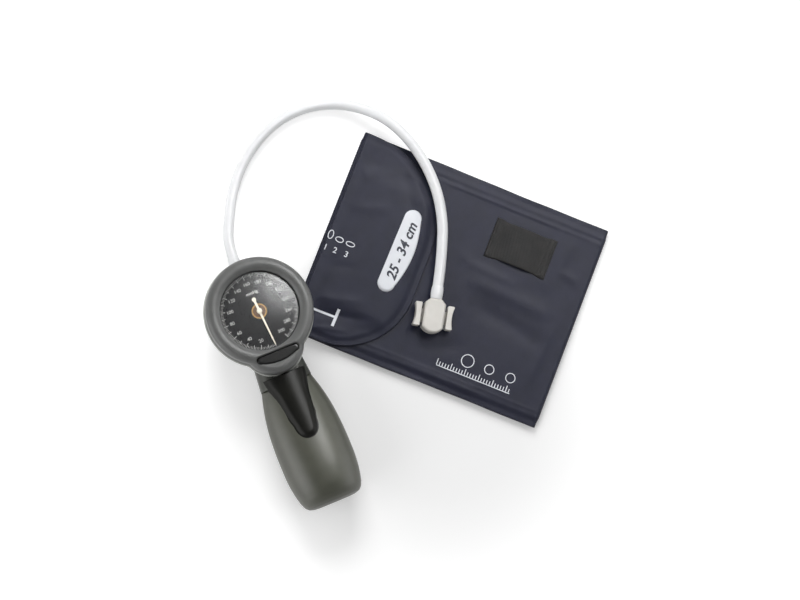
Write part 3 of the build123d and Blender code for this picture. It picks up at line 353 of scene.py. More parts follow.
def finish(name, dark, light, gloss, cell=0.35, bump=0.02, thread=None, stretch=None, **shader_values):
    """Two tones drift with the broad grain, roughness follows the fine one, and both lift a bump.

    dark and light are screen colours, gloss is the lowest and highest roughness, cell is the grain
    in millimetres, bump its height in millimetres, and thread the weave's two pitches and height.
    """
    made, tree = new_material(name)
    where = add_node(tree, "TexCoord")
    spot = where.outputs["Object"]
    if stretch is not None:
        spot = add_node(tree, "Mapping", {"Vector": spot, "Scale": stretch}).outputs["Vector"]
    grain = add_node(tree, "Group", {"Vector": spot, "Cell": cell}, node_tree=grain_group).outputs
    drift = ramp(tree, grain["Broad"], *grain_span, 0.15, 0.85)
    tone = add_node(tree, "Mix", {0: drift, 6: ink(*dark), 7: ink(*light)}, data_type="RGBA")
    lift_feed = {"Height": grain["Fine"], "Strength": 0.6, "Distance": bump * MM}
    if thread is not None:
        weave_feed = {"Vector": where.outputs["UV"], "Along": thread[0], "Across": thread[1]}
        weave = add_node(tree, "Group", weave_feed, node_tree=weave_group)
        cloth_feed = {"Height": weave.outputs["Height"], "Strength": 0.7, "Distance": thread[2] * MM}
        lift_feed["Normal"] = add_node(tree, "Bump", cloth_feed).outputs["Normal"]
    shader_feed = {key.replace("_", " "): value for key, value in shader_values.items()}
    shader_feed["Base Color"] = tone.outputs[2]
    shader_feed["Roughness"] = ramp(tree, grain["Fine"], *grain_span, *gloss)
    shader_feed["Normal"] = add_node(tree, "Bump", lift_feed).outputs["Normal"]
    feed(tree, tree.nodes["Principled BSDF"], shader_feed)
    return made


def dress(material, *names):
    """Gives a finish to CAD nodes, by their objects' material slots."""
    for name in names:
        for slot in nodes[name].material_slots:
            slot.material = material


# %% [markdown]
# ## The room
# A pale table and plain soft light. The table could be lit until it clips to white, but that
# burns out the pale parts too. So it is a near-white surface that adds a little glow for
# camera, glossy and clear rays only, and more of it farther out: it reads as white right to
# the picture's edge, and still keeps the shadows beside the object. The room's walls are
# white to the eye, and gloss sees them fade to a dim ceiling.

# %% The table


def ray_of(tree, *kinds):
    """One for the named kinds of ray, and nothing for the rest."""
    path = add_node(tree, "LightPath").outputs
    seen = 0.0
    for kind in kinds:
        seen = sums(tree, "MAXIMUM", path[f"Is {kind} Ray"], seen)
    return seen


def square(half, middle):
    """The corners of a level square about a middle."""
    return np.asarray(middle) + half * np.array([[-1, -1, 0], [1, -1, 0], [1, 1, 0], [-1, 1, 0]])


table_white, table_tree = new_material("table_white")
table_reach = distance(table_tree, (0.02, -0.06, 0.0))
glow_near = ramp(table_tree, table_reach, 0.05, 0.16, 0.16, 0.45, "SMOOTHSTEP")
glow_far = ramp(table_tree, table_reach, 0.4, 1.6, 0.0, 0.6)
glow_all = sums(table_tree, "ADD", glow_near, glow_far)
table_seen = ray_of(table_tree, "Camera", "Glossy", "Transmission")
table_feed = {
    "Base Color": (0.82, 0.82, 0.82, 1.0),
    "Roughness": 0.9,
    "Specular IOR Level": 0.0,
    "Emission Color": (1.0, 1.0, 1.0, 1.0),
    "Emission Strength": sums(table_tree, "MULTIPLY", glow_all, table_seen),
}
feed(table_tree, table_tree.nodes["Principled BSDF"], table_feed)
one_face = np.array([[0, 1, 2, 3]])
table_top = add_piece("table_top", square(3.0, (0.0, 0.0, 0.0)), one_face, table_white, closed=False)

# %% The room and its lamps
room = bpy.data.worlds.new("room")
room.use_nodes = True
bpy.context.scene.world = room
room_tree = room.node_tree
room_way = add_node(room_tree, "SeparateXYZ", {0: add_node(room_tree, "TexCoord").outputs["Generated"]})
room_walls = ramp(room_tree, room_way.outputs["Z"], 0.1, 0.8, 1.0, 0.16)
room_mirrored = ray_of(room_tree, "Glossy", "Transmission")
room_light = add_node(room_tree, "Mix", {0: room_mirrored, 2: 0.26, 3: room_walls}).outputs[0]
room_seen = sums(room_tree, "MAXIMUM", room_light, ray_of(room_tree, "Camera"))
feed(room_tree, room_tree.nodes["Background"], {"Color": (1.0, 1.0, 1.0, 1.0), "Strength": room_seen})


def soft_box(name, spot, size, power, mirrored=False):
    """A square lamp at a spot in metres, facing the table's middle; only some are seen in mirrors."""
    lamp = bpy.data.lights.new(name, "AREA")
    lamp.energy = power
    lamp.size = size
    made = put(name, lamp)
    back = np.array(spot, float) / np.linalg.norm(spot)
    stand(made, spot, back, np.cross([0.0, 0.0, 1.0], back))
    made.visible_glossy = mirrored


soft_box("window_light", (-0.2, 1.0, 0.8), 0.7, 11.5)
soft_box("left_light", (-1.1, -0.5, 0.5), 1.0, 7.0, True)
soft_box("right_light", (1.25, 0.1, 0.6), 1.1, 5.2, True)
soft_box("ceiling_light", (-0.2, 0.1, 1.7), 1.0, 2.4)
bpy.context.scene.view_settings.view_transform = "Standard"

# %% [markdown]
# The two upper lamps are hidden from mirrors, because a square lamp in the gauge's window looks
# like a hole in it. What the window mirrors is a card of its own, which only mirrors see, and
# whose glow fades from its middle to nothing at its rim.

# %% The mirrored card
card_half = 0.55
card_middle = np.array([0.36, 0.56, 1.2])
card_glow, card_tree = new_material("card_glow")
card_tree.nodes.clear()
card_reach = distance(card_tree, tuple(card_middle.tolist()))
card_fade = ramp(card_tree, card_reach, 0.0, card_half, 19.0, 0.0, "SMOOTHSTEP")
card_light = add_node(card_tree, "Emission", {"Strength": card_fade}).outputs[0]
card_clear = add_node(card_tree, "BsdfTransparent").outputs[0]
card_both = add_node(card_tree, "AddShader", {0: card_light, 1: card_clear}).outputs[0]
add_node(card_tree, "OutputMaterial", {"Surface": card_both})
card_face = one_face[:, ::-1]
card = add_piece("mirrored_card", square(card_half, card_middle), card_face, card_glow, closed=False)
card.visible_camera = False
card.visible_diffuse = False
card.visible_shadow = False
card.visible_transmission = False

# %% [markdown]
# The hose is thick silicone, pale and a little waxy. Where it is pushed over a barb it swells.
# A swelling is a short lathe-turned sleeve whose profile rises and falls.

# %% Hose finish and its two swellings
hose_rubber = finish("hose_rubber", (226, 227, 229), (234, 235, 236), (0.34, 0.46), 0.5, 0.02)
hose_curve.materials.append(hose_rubber)
settle(hose, "instrument", "hose_grey", "air_hose")


def turned(name, centre, direction, profile, material, turns=48):
    """A lathe form: each pair of the profile is a distance along the axis and a radius round it."""
    centre = np.asarray(centre, float)
    axis = np.asarray(direction, float) / np.linalg.norm(direction)
    across = np.cross(axis, [0.0, 0.0, 1.0]) if abs(axis[2]) < 0.9 else np.array([1.0, 0.0, 0.0])
    across /= np.linalg.norm(across)
    third = np.cross(axis, across)
    angle = all_round(turns)
    along, radius = np.asarray(profile, float).T
    rim = np.cos(angle)[:, None] * across + np.sin(angle)[:, None] * third
    points = centre + along[:, None, None] * axis + radius[:, None, None] * rim
    return add_piece(name, points * MM, grid_quads(len(profile), turns, wrap_columns=True), material)


def swelling_profile(length, rise):
    """A sleeve that rises as a half sine over its length, closed on the hose's own surface."""
    t = np.linspace(0, 1, 24)
    outer = hose_radius + 0.04 + rise * np.sin(np.pi * t) ** 0.7
    inner = hose_radius - 0.4
    return [(0.0, inner), *zip(length * t, outer), (length, inner), (0.0, inner)]


head_exit = np.array(hose_route[0]) / MM
head_way = np.array(hose_route[1]) / MM - head_exit
conn_exit = np.array(hose_route[-1]) / MM
conn_way = np.array(hose_route[-2]) / MM - conn_exit
swell_head = turned("hose_swell_head", head_exit, head_way, swelling_profile(9.0, 0.35), hose_rubber)
swell_port = turned("hose_swell_port", conn_exit, conn_way, swelling_profile(9.0, 0.5), hose_rubber)
for swell in (swell_head, swell_port):
    settle(swell, "instrument", "hose_grey")

# %% [markdown]
# ## The cuff
# The cuff is one long sleeve of coated nylon, welded along its edges with the air bladder
# inside, and folded in three: a bottom panel, a middle panel and a flap with a round end. It
# could be simulated, but folded flat it hardly moves. So it is worked out as two skins on
# either side of one folded line, thin at the welds and full inside.

# %% The folded line
cuff_half = 72.25
right_fold = (87.7, 2.3)
left_fold = (-87.25, 5.25)
bottom_start = -84.0
flap_tip = -18.5
flap_arcs = [(62.0, 10.25, 1), (50.0, -22.25, -1)]
bottom_level, middle_level, flap_level = 1.13, 3.55, 6.95


def flap_end(y):
    """Where the flap ends, at each distance across: straight in the middle, an arc at each corner."""
    beyond = [(radius, np.clip(side * (y - start), 0, None)) for radius, start, side in flap_arcs]
    return flap_tip - sum(radius * (1 - dome(past / radius)) for radius, past in beyond)


def crease(x, y, start, end, width, height):
    """A soft fold along a line: a bell across it, and an ease to nothing at its two ends."""
    way = np.subtract(end, start)
    length = np.hypot(*way)
    along = ((x - start[0]) * way[0] + (y - start[1]) * way[1]) / length
    across = ((y - start[1]) * way[0] - (x - start[0]) * way[1]) / length
    fade = ease(along, 0.0, 0.35 * length) * ease(length - along, 0.0, 0.35 * length)
    return height * fade * bell(across, width)


panel_creases = [
    ((2, 6), (82, 2), 5.0, 0.55),
    ((10, -8), (86, -20), 6.0, -0.5),
    ((-8, 20), (50, 12), 4.0, 0.4),
    ((8, 30), (10, 66), 3.5, 0.35),
    ((62, 18), (70, 62), 4.5, 0.45),
    ((66, 34), (86, 30), 3.0, 0.35),
    ((-10, -52), (30, -36), 4.5, -0.35),
    ((-28, -64), (60, -66), 3.0, 0.3),
    ((72, -60), (80, 10), 4.0, 0.4),
    ((14, 54), (58, 58), 2.2, -0.4),
]
flap_creases = [
    ((-84, -56), (-36, -46), 2.6, -0.45),
    ((-84, -46), (-44, -36), 3.0, 0.3),
    ((-80, -66), (-50, -58), 2.2, 0.3),
    ((-84, 18), (-52, 30), 3.4, 0.3),
    ((-84, 44), (-44, 60), 4.0, 0.35),
    ((-62, 66), (-30, 20), 4.0, -0.3),
    ((-86, -24), (-58, -16), 2.6, -0.25),
]


def panel_ripple(x, y):
    """Soft folds and a few low waves on the middle panel, in millimetres."""
    waves = 0.16 * np.sin(x / 21.0 + y / 34.0 + 0.6) + 0.08 * np.sin(x / 9.5 - y / 15.0)
    pucker = bell(np.abs(y) - 61.5, 3.5) * np.sin(x / 1.9 + 2.0 * np.sin(x / 11.0))
    waves = waves + 0.07 * pucker + sum(crease(x, y, *fold) for fold in panel_creases)
    calm = ease(np.hypot((x + 2.1) / 16, (y + 28.5) / 16), 0.8, 1.6)
    calm = calm * ease(np.maximum(np.abs(x - 37.3) / 27, np.abs(y - 37.9) / 19), 0.9, 1.3)
    return waves * calm * ease(87.0 - np.abs(x), 0.0, 12.0) * ease(cuff_half - np.abs(y), 0.0, 5.0)


def flap_sag(x, y):
    """The flap rests on its hook patch and drops to the panel beyond it, with low waves of its own."""
    beyond = np.maximum(np.maximum(x + 33.5, -75.5 - x), np.abs(y) - 42.0)
    drop = -1.0 * ease(beyond, 0.0, 13.0) * ease(x + 87.0, 0.0, 14.0)
    waves = 0.16 * np.sin(x / 13.0 - y / 26.0) + sum(crease(x, y, *fold) for fold in flap_creases)
    return drop + waves * ease(x + 87.0, 0.0, 14.0)


# %% Thickness, with its welded border


def skin_gap(border):
    """Half the cuff's thickness at a distance from its border: a round rim, a thin weld, then full."""
    full = 0.52 + 0.53 * ease(border, 3.0, 7.5)
    return full * dome(1 - np.clip(border / 0.55, 0, 1))


def seam_bead(x, y):
    """A welded bead that runs along the middle panel near each long edge."""
    fades = 0.5 + 0.5 * np.sin(x / 23.0 + 0.8)
    bead = (0.1 + 0.22 * fades) * bell(y - 60.9, 0.9) + 0.1 * bell(y + 61.5, 0.9)
    return bead - 0.14 * bell(y - 63.4, 1.6)


print("half thickness at the weld and inside", skin_gap(np.array([2.0, 20.0])).round(2))

# %% The cuff's two skins
column_y = spread(-cuff_half, cuff_half, 150)
side_gap = cuff_half - np.abs(column_y)
arc = np.linspace(-np.pi / 2, np.pi / 2, 13)[1:-1]


def run(x, z, up):
    """A straight run of the folded line: its points, and its normal straight up or down."""
    return np.stack([x, np.full_like(x, z), np.zeros_like(x), np.full_like(x, up)], 1)


def fold_over(middle, radius, out):
    """Half a circle about a fold's middle, open to the left or right, with normals that point inwards."""
    cosine, sine = out * np.cos(arc), np.sin(arc)
    return np.stack([middle[0] + radius * cosine, middle[1] + radius * sine, -cosine, -out * sine], 1)


bottom_run = run(spread(bottom_start, right_fold[0], 52, 0.9), bottom_level, 1.0)
right_run = fold_over(right_fold, 1.25, 1.0)
middle_run = run(spread(right_fold[0], left_fold[0], 112, 0.85), middle_level, -1.0)
left_run = fold_over(left_fold, 1.7, -1.0)
flap_run = run(spread(0.0, 1.0, 64, 0.93), flap_level, 1.0)
runs = [bottom_run, right_run, middle_run, left_run, flap_run]
folded = np.concatenate(runs)
counts = np.cumsum([len(part) for part in runs])
row_x, across_y = np.meshgrid(folded[:, 0], column_y, indexing="ij")
row_z = np.repeat(folded[:, 1:2], len(column_y), 1)
on_middle = slice(counts[1], counts[2])
on_flap = slice(counts[3], counts[4])
tip = flap_end(across_y[on_flap])
row_x[on_flap] = left_fold[0] + (tip - left_fold[0]) * row_x[on_flap]
border = np.tile(side_gap, (len(folded), 1))
start_gap = row_x[: counts[0]] - bottom_start
border[: counts[0]] = np.minimum(border[: counts[0]], start_gap)
slope = np.gradient(flap_end(column_y), column_y)
tip_gap = (tip - row_x[on_flap]) / np.sqrt(1 + slope**2)
border[on_flap] = np.minimum(border[on_flap], tip_gap)
gap = skin_gap(border)
row_z[on_middle] += panel_ripple(row_x[on_middle], across_y[on_middle])
row_z[on_flap] += flap_sag(row_x[on_flap], across_y[on_flap])
edge_wave = 0.22 * np.sin(row_x / 17.0) + 0.16 * np.sin(row_x / 6.3 + row_z) + 0.12 * np.sin(row_x / 41.0)
across_y = across_y * (1 - 0.007 * (0.5 + edge_wave) * np.abs(across_y / cuff_half) ** 8)
skins = []
for side in (1.0, -1.0):
    x = row_x + side * gap * folded[:, 2:3]
    z = row_z + side * gap * folded[:, 3:4]
    if side < 0:
        z[on_middle] += seam_bead(row_x[on_middle], across_y[on_middle])
    skins.append(np.stack([x, across_y, z], -1))
length_along = np.concatenate([[0], np.cumsum(np.hypot(*np.diff(folded[:, :2], axis=0).T))])
length_along[on_flap] = length_along[counts[3] - 1] + folded[on_flap, 0] * 68.75
cuff_uv = np.stack([np.repeat(length_along[:, None], len(column_y), 1), across_y], -1) * MM
skin_quads = grid_quads(len(folded), len(column_y))
cuff_points = lay(np.concatenate(skins), cuff).reshape(-1, 3)
cuff_faces = np.concatenate([skin_quads, skin_quads[:, ::-1] + row_x.size])
print("strip's length", length_along[-1].round(1), "lowest", cuff_points[:, 2].min().round(5))

# %% Nylon, and the cuff made of it
nylon_tones = (19, 21, 35), (26, 28, 45)
nylon_thread = (0.42, 0.42, 0.035)
nylon = finish(
    "cuff_nylon", *nylon_tones, (0.42, 0.55), 0.5, 0.02, thread=nylon_thread, Specular_IOR_Level=0.26
)
both_uv = np.concatenate([cuff_uv, cuff_uv])
cuff_sleeve = add_piece("cuff_sleeve", cuff_points, cuff_faces, nylon, both_uv)
settle(cuff_sleeve, "cuff", "cuff_cloth", "cuff_wrap")


def middle_top(x, y):
    """The height of the middle panel's upper skin."""
    return middle_level + panel_ripple(x, y) + skin_gap(cuff_half - np.abs(y)) + seam_bead(x, y)


def flap_top(x, y):
    """The height of the flap's upper skin, away from its border."""
    border = np.minimum(cuff_half - np.abs(y), flap_end(y) - x)
    flat = flap_level + flap_sag(x, y) + skin_gap(np.clip(border, 0.6, None))
    round_z = left_fold[1] + 2.75 * dome((x - left_fold[0]) / 2.75)
    return np.where(x < left_fold[0], round_z, flat)


# %% [markdown]
# Under the flap sits a patch of hook tape, and on the middle panel a loop of black elastic
# that holds the gauge when it is put away. The loop is a woven band: it is stitched down at
# both ends, its middle rises off the cloth, and its long edges pull in a little.

# %% A flat form from its outline


def coin(name, outline, top, bottom, material, place, rings=7):
    """A thin closed form: rings between an outline and its middle, on a top and a bottom height.

    A point is the middle plus a share of the way to the outline. Heights are functions of x and y.
    """
    outline = np.asarray(outline, float)
    centre = outline.mean(0)
    share = np.concatenate([np.linspace(0, 1, rings), np.linspace(1, 0, rings)])
    flat = centre + share[:, None, None] * (outline - centre)
    high = top(flat[:rings, :, 0], flat[:rings, :, 1])
    low = bottom(flat[rings:, :, 0], flat[rings:, :, 1])
    points = np.concatenate([flat, np.concatenate([high, low])[..., None]], -1)
    quads = grid_quads(len(share), len(outline), wrap_columns=True)
    return add_piece(name, lay(points, place), quads, material, uv=flat.reshape(-1, 2) * MM)


def round_box(width, height, radius, count=12):
    """The outline of a rectangle with round corners, about the origin."""
    angle = np.linspace(0, np.pi / 2, count)
    corner = np.column_stack([np.cos(angle), np.sin(angle)]) * radius
    turns = [(1, 1, corner), (-1, 1, corner[::-1]), (-1, -1, corner), (1, -1, corner[::-1])]
    shift = np.array([width / 2 - radius, height / 2 - radius])
    return np.concatenate([(part + shift) * (across, up) for across, up, part in turns])


# %% Hook tape under the flap
hook_black = finish(
    "hook_black", (26, 27, 32), (38, 39, 46), (0.6, 0.85), 0.4, 0.12, thread=(0.9, 0.9, 0.3)
)
hook_tape = coin(
    "hook_tape",
    round_box(42.0, 84.0, 6.0) + np.array([-54.5, 0.0]),
    lambda x, y: 5.86 + 0.16 * np.sin(x / 13.0 - y / 26.0),
    level(5.05),
    hook_black,
    cuff,
)
settle(hook_tape, "cuff", "hook_tape", "hook_patch")

# %% The elastic loop
strap_spot = np.array([37.3, 37.9])
strap_long, strap_wide = 22.0, 14.2
strap_along = spread(-strap_long, strap_long, 90, 0.85)
strap_across = spread(-1.0, 1.0, 34, 0.9)
strap_u, strap_v = np.meshgrid(strap_along, strap_across, indexing="ij")


def strap_half_width(u):
    """Half the band's width: full at the stitched hems, narrower where it is free."""
    return strap_wide - 0.9 * ease(strap_long - np.abs(u), 3.5, 9.0)


def strap_rise(u):
    """How far the band's underside stands off the cloth: nothing at the hems, an arch between."""
    return 1.9 * ease(16.8 - np.abs(u), 0.0, 12.0) - 0.25 * bell(u + 5, 4.0)


def strap_skin(top):
    """One face of the band; a hem is two layers, and stitches pull a groove into it."""
    hem = 1 - ease(strap_long - np.abs(strap_u), 5.2, 6.0)
    stitched = bell(np.abs(strap_u) - 20.3, 0.35) + bell(np.abs(strap_u) - 17.6, 0.35)
    thick = (0.62 + 0.5 * hem - 0.22 * stitched) * dome(strap_v, 14)
    thick = thick * dome(strap_u / strap_long, 60)
    z = 4.62 + 0.056 * (1 - hem) + strap_rise(strap_u) + (thick if top else 0.0)
    y = strap_v * strap_half_width(strap_u)
    return np.stack([strap_u + strap_spot[0], y + strap_spot[1], z], -1).reshape(-1, 3)


elastic_tones = (13, 13, 14), (30, 29, 28)
elastic_thread = (0.55, 1.15, 0.2)
elastic = finish(
    "elastic", *elastic_tones, (0.5, 0.7), 0.45, 0.06, thread=elastic_thread, Specular_IOR_Level=0.35
)
strap_quads = grid_quads(*strap_u.shape)
strap_uv = np.stack([strap_u, strap_v * strap_wide], -1) * MM
strap = add_piece(
    "elastic_loop",
    lay(np.concatenate([strap_skin(True), strap_skin(False)]), cuff),
    np.concatenate([strap_quads, strap_quads[:, ::-1] + strap_u.size]),
    elastic,
    np.concatenate([strap_uv, strap_uv]),
)
settle(strap, "cuff", "elastic", "strap_loop")

# %% [markdown]
# The cuff is printed in white: a long label, a row of small numbers with plain marks, and a
# bar that shows how far the cuff may wrap. Print could be painted by the shader, but thin
# shapes laid on the cloth stay sharp at any distance.

# %% Lettering as a mesh


def numbers(name, items, size, heavy, slant, material, top, place, lift=0.05, thick=0.06):
    """Each item is a text, its middle and its turn; all become one mesh on a height function."""
    shell = bmesh.new()
    for text, x, y, turn in items:
        words = bpy.data.curves.new("words", "FONT")
        words.body = text
        words.size = size
        words.align_x = "CENTER"
        words.align_y = "CENTER"
        words.offset = heavy
        words.shear = slant
        words.extrude = thick
        words.resolution_u = 3
        holder = put("words", words)
        seen = holder.evaluated_get(bpy.context.evaluated_depsgraph_get())
        letters = bpy.data.meshes.new_from_object(seen)
        letters.transform(Matrix.Translation((x, y, 0)) @ Matrix.Rotation(radians(turn), 4, "Z"))
        shell.from_mesh(letters)
        bpy.data.objects.remove(holder)
        bpy.data.curves.remove(words)
        bpy.data.meshes.remove(letters)
    bmesh.ops.remove_doubles(shell, verts=shell.verts, dist=1e-4)
    mesh = bpy.data.meshes.new(name)
    shell.to_mesh(mesh)
    shell.free()
    points = np.empty(len(mesh.vertices) * 3)
    mesh.vertices.foreach_get("co", points)
    points = points.reshape(-1, 3)
    points[:, 2] += top(points[:, 0], points[:, 1]) + lift
    mesh.vertices.foreach_set("co", lay(points, place).ravel())
    mesh.update()
    mesh.materials.append(material)
    print(name, len(mesh.vertices), "points")
    return put(name, mesh)


def bars(name, starts, ends, widths, top, place, material, lift=0.05, thick=0.1, cuts=2):
    """Flat strokes: each runs from a start to an end with a width, on a height function."""
    starts, ends, widths = (np.asarray(part, float) for part in (starts, ends, widths))
    way = ends - starts
    side = np.stack([-way[:, 1], way[:, 0]], 1) / np.linalg.norm(way, axis=1)[:, None] * widths[:, None] / 2
    share = np.linspace(0, 1, cuts)[None, :, None]
    line = starts[:, None] + share * way[:, None]
    left, right = line + side[:, None], line - side[:, None]
    ring = np.stack([left, right, right, left], 2)
    high = np.array([lift, lift, lift - thick, lift - thick])
    z = top(ring[..., 0], ring[..., 1]) + high
    points = np.concatenate([ring, z[..., None]], -1)
    tube = grid_quads(cuts, 4, wrap_columns=True)
    caps = np.array([[3, 2, 1, 0], [4 * cuts - 4, 4 * cuts - 3, 4 * cuts - 2, 4 * cuts - 1]])
    each = np.concatenate([tube, caps])
    faces = (each[None] + (np.arange(len(starts)) * 4 * cuts)[:, None, None]).reshape(-1, 4)
    piece = add_piece(name, lay(points, place), faces, material)
    piece.data.shade_flat()
    return piece


# %% The label
print_white = finish("print_white", (218, 221, 227), (228, 230, 235), (0.45, 0.6), 0.5, 0.01)
print_dark = finish("print_dark", (38, 40, 52), (48, 50, 62), (0.5, 0.65), 0.5, 0.01)
label_high = np.array([-38.4, 28.6])
label_low = np.array([-39.4, -18.9])
label_radius = 5.9
turn = np.linspace(0, np.pi, 24)
top_cap = label_high + label_radius * np.column_stack([np.cos(turn), np.sin(turn)])
low_cap = label_low + label_radius * np.column_stack([-np.cos(turn), -np.sin(turn)])
climb = np.linspace(0, 1, 40)[1:-1, None]
left_side = top_cap[-1] + climb * (low_cap[0] - top_cap[-1])
right_side = low_cap[-1] + climb * (top_cap[0] - low_cap[-1])
right_side = right_side + np.column_stack([3.9 * np.sin(np.pi * climb[:, 0]) ** 0.9, 0 * climb[:, 0]])
label_outline = np.concatenate([top_cap, left_side, low_cap, right_side])
label = coin(
    "size_label",
    label_outline,
    lambda x, y: flap_top(x, y) + 0.08,
    lambda x, y: flap_top(x, y) - 0.25,
    print_white,
    cuff,
    rings=14,
)
label_text = numbers(
    "label_numbers", [("25 - 34 cm", -37.2, 4.9, 88.8)], 9.4, 0.24, 0.26, print_dark, flap_top, cuff, 0.14
)

# %% Small numbers, plain marks and the range bar
small_items = [("1", -86.2, -11.6, 0), ("2", -79.4, -11.4, 0), ("3", -71.4, -11.2, 0)]
small_numbers = numbers("small_numbers", small_items, 5.6, 0.05, 0.0, print_white, flap_top, cuff)
range_starts, range_ends = [(-86.0, -53.5), (-62.35, -47.3)], [(-63.4, -53.1), (-62.6, -59.4)]
range_bar = bars("range_bar", range_starts, range_ends, [1.5, 2.0], flap_top, cuff, print_white, cuts=14)
circle = np.linspace(0, 2 * np.pi, 25)


def ring_strokes(rings):
    """The starts and ends of strokes that draw ellipses, each given by its middle and half sizes."""
    x, y, wide, tall = np.asarray(rings, float).T[:, :, None]
    path = np.stack([x + wide * np.cos(circle), y + tall * np.sin(circle)], -1)
    return path[:, :-1].reshape(-1, 2), path[:, 1:].reshape(-1, 2)


flap_rings = [(-85.9, -2.2, 1.7, 3.0), (-79.2, -3.4, 2.7, 1.7), (-71.3, -3.6, 3.0, 1.5)]
marks = bars("flap_marks", *ring_strokes(flap_rings), np.full(72, 0.6), flap_top, cuff, print_white)
panel_rings = [(31.0, -47.0, 4.3, 4.3), (46.6, -47.0, 3.2, 3.2), (62.0, -47.0, 3.2, 3.2)]
panel_starts, panel_ends = ring_strokes(panel_rings)
scale_foot = -56.8
tick_x = np.arange(12.0, 66.0, 2.0)
tick_tall = np.where(np.arange(len(tick_x)) % 5 == 0, 4.2, 2.6)
tick_feet = np.column_stack([tick_x, np.full_like(tick_x, scale_foot)])
tick_heads = np.column_stack([tick_x, tick_tall + scale_foot])
panel_starts = np.concatenate([panel_starts, tick_feet, [[12.0, -57.2]]])
panel_ends = np.concatenate([panel_ends, tick_heads, [[65.0, -57.2]]])
panel_lines = panel_starts, panel_ends, np.full(len(panel_starts), 0.55)
panel_print = bars("panel_scale", *panel_lines, middle_top, cuff, print_white, cuts=5)
for piece in (label, label_text, small_numbers, range_bar, marks, panel_print):
    settle(piece, "cuff", "cuff_cloth")

# %% [markdown]
# The air port is a moulded disc welded into the cloth. It keeps its CAD shape, and a soft
# collar of raised cloth is drawn round it, because the weld pulls the nylon up a little.

# %% Port, connector and their finishes
port_grey = finish("port_grey", (52, 54, 62), (66, 68, 78), (0.4, 0.55), 0.4, 0.02)
connector_ivory = finish("connector_ivory", (200, 197, 191), (208, 205, 199), (0.34, 0.48), 0.3, 0.02)
seal_rubber = finish("seal_rubber", (28, 28, 29), (40, 40, 41), (0.45, 0.6), 0.3, 0.02)
steel_tones = (150, 152, 155), (186, 188, 190)
steel_look = {"stretch": (1, 1, 6), "Metallic": 1.0}
spring_steel = finish("spring_steel", *steel_tones, (0.22, 0.36), 0.2, 0.01, **steel_look)
dress(port_grey, "cuff_port")
dress(connector_ivory, "connector_base", "connector_body", "squeeze_tab_left", "squeeze_tab_right")
dress(seal_rubber, "port_seal", "diaphragm_seal", "outlet_valve_disc", "intake_valve_disc")
dress(spring_steel, "latch_spring_left", "latch_spring_right", "trigger_spring", "valve_spring")
dress(spring_steel, "ribbon_spring", "spindle", "trigger_pin")
dress(spring_steel, "retaining_screws", "bridge_screws", "cover_screws")
port_collar = turned(
    "port_collar",
    (*port[0], 0.0),
    (0.0, 0.0, 1.0),
    [(4.45, 13.2), (4.62, 12.2), (4.9, 11.0), (5.05, 10.0), (4.95, 9.15), (4.5, 9.08), (4.4, 11.0)],
    nylon,
    96,
)
settle(port_collar, "cuff", "cuff_cloth")

# %% [markdown]
# ## The gauge
# A thick rubber bumper surrounds the window and widens into a chin that carries a small
# black plate. In CAD it is a few cut solids. Here it is one surface: for each direction round
# the dial it knows how far the outline is, and its height is the higher of the ring's roll
# and the chin's shelf.

# %% The bumper's outline
ring_radius = 35.4
chin_middle = -22.9
chin_radius = 20.3
blend_radius = 5.0
directions = all_round(720)


def bumper_reach(angle):
    """The outline's distance: the farther of ring and chin along a ray, or the hollow blend between."""
    way_x, way_y = np.cos(angle), np.sin(angle)
    dot = chin_middle * way_y
    inside = np.clip(dot**2 - (chin_middle**2 - chin_radius**2), 0, None)
    chin_far = np.where(dot > 0, dot + np.sqrt(inside), 0)
    far = np.maximum(ring_radius, chin_far)
    sum_ring, sum_chin = ring_radius + blend_radius, chin_radius + blend_radius
    blend_y = (sum_chin**2 - sum_ring**2 - chin_middle**2) / (-2 * chin_middle)
    blend_x = np.sqrt(sum_ring**2 - blend_y**2)
    near_dot = np.abs(way_x) * blend_x + way_y * blend_y
    under = near_dot**2 - (sum_ring**2 - blend_radius**2)
    hollow = near_dot - np.sqrt(np.clip(under, 0, None))
    from_ring = np.arctan2(blend_y, blend_x)
    chin_share = chin_radius / sum_chin
    on_chin_y = chin_middle + (blend_y - chin_middle) * chin_share
    from_chin = np.arctan2(on_chin_y, blend_x * chin_share)
    here = np.arctan2(way_y, np.abs(way_x))
    between = (under > 0) & (here < from_ring) & (here > from_chin)
    return np.where(between, np.maximum(hollow, far), far)


outline_reach = bumper_reach(directions)
print("bumper reach", outline_reach.min().round(2), "to", outline_reach.max().round(2))

# %% The bumper's heights
chin_shelf, chin_round = 44.9, 4.5
softness = 0.35
case_rim = 42.7
crest_radius = 30.8
inner_radius = 26.3


def badge_inside(x, y):
    """How far a point lies inside the plate's boat shape: a bowed line, fuller in its middle."""
    along = np.clip(x / 12.3, -1.0, 1.0)
    away = np.hypot(x - 12.3 * along, y + 32.1 - 1.2 * along**2)
    return 4.0 - 1.3 * along**2 - away


def bumper_height(x, y, reach):
    """The higher of the ring's rolled crest and the chin's rounded shelf, less the plate's recess."""
    r = np.hypot(x, y)
    inner = case_rim + 0.6 + 3.2 * dome((crest_radius - r) / 4.5)
    outer = case_rim + 3.8 * dome((r - crest_radius) / 4.6)
    ring = np.where(r < crest_radius, inner, np.where(r > ring_radius, 0, outer))
    margin = np.clip((reach - r) / chin_round, 0, 1)
    shelf = chin_shelf - chin_round * (1 - dome(1 - margin))
    soft = softness * np.logaddexp(ring / softness, shelf / softness)
    soft = np.minimum(soft, np.maximum(ring, shelf) + 0.15)
    sunk = ease(badge_inside(x, y), -0.25, 0.25)
    return soft * (1 - sunk) + np.minimum(soft, 43.8) * sunk


# %% The bumper itself


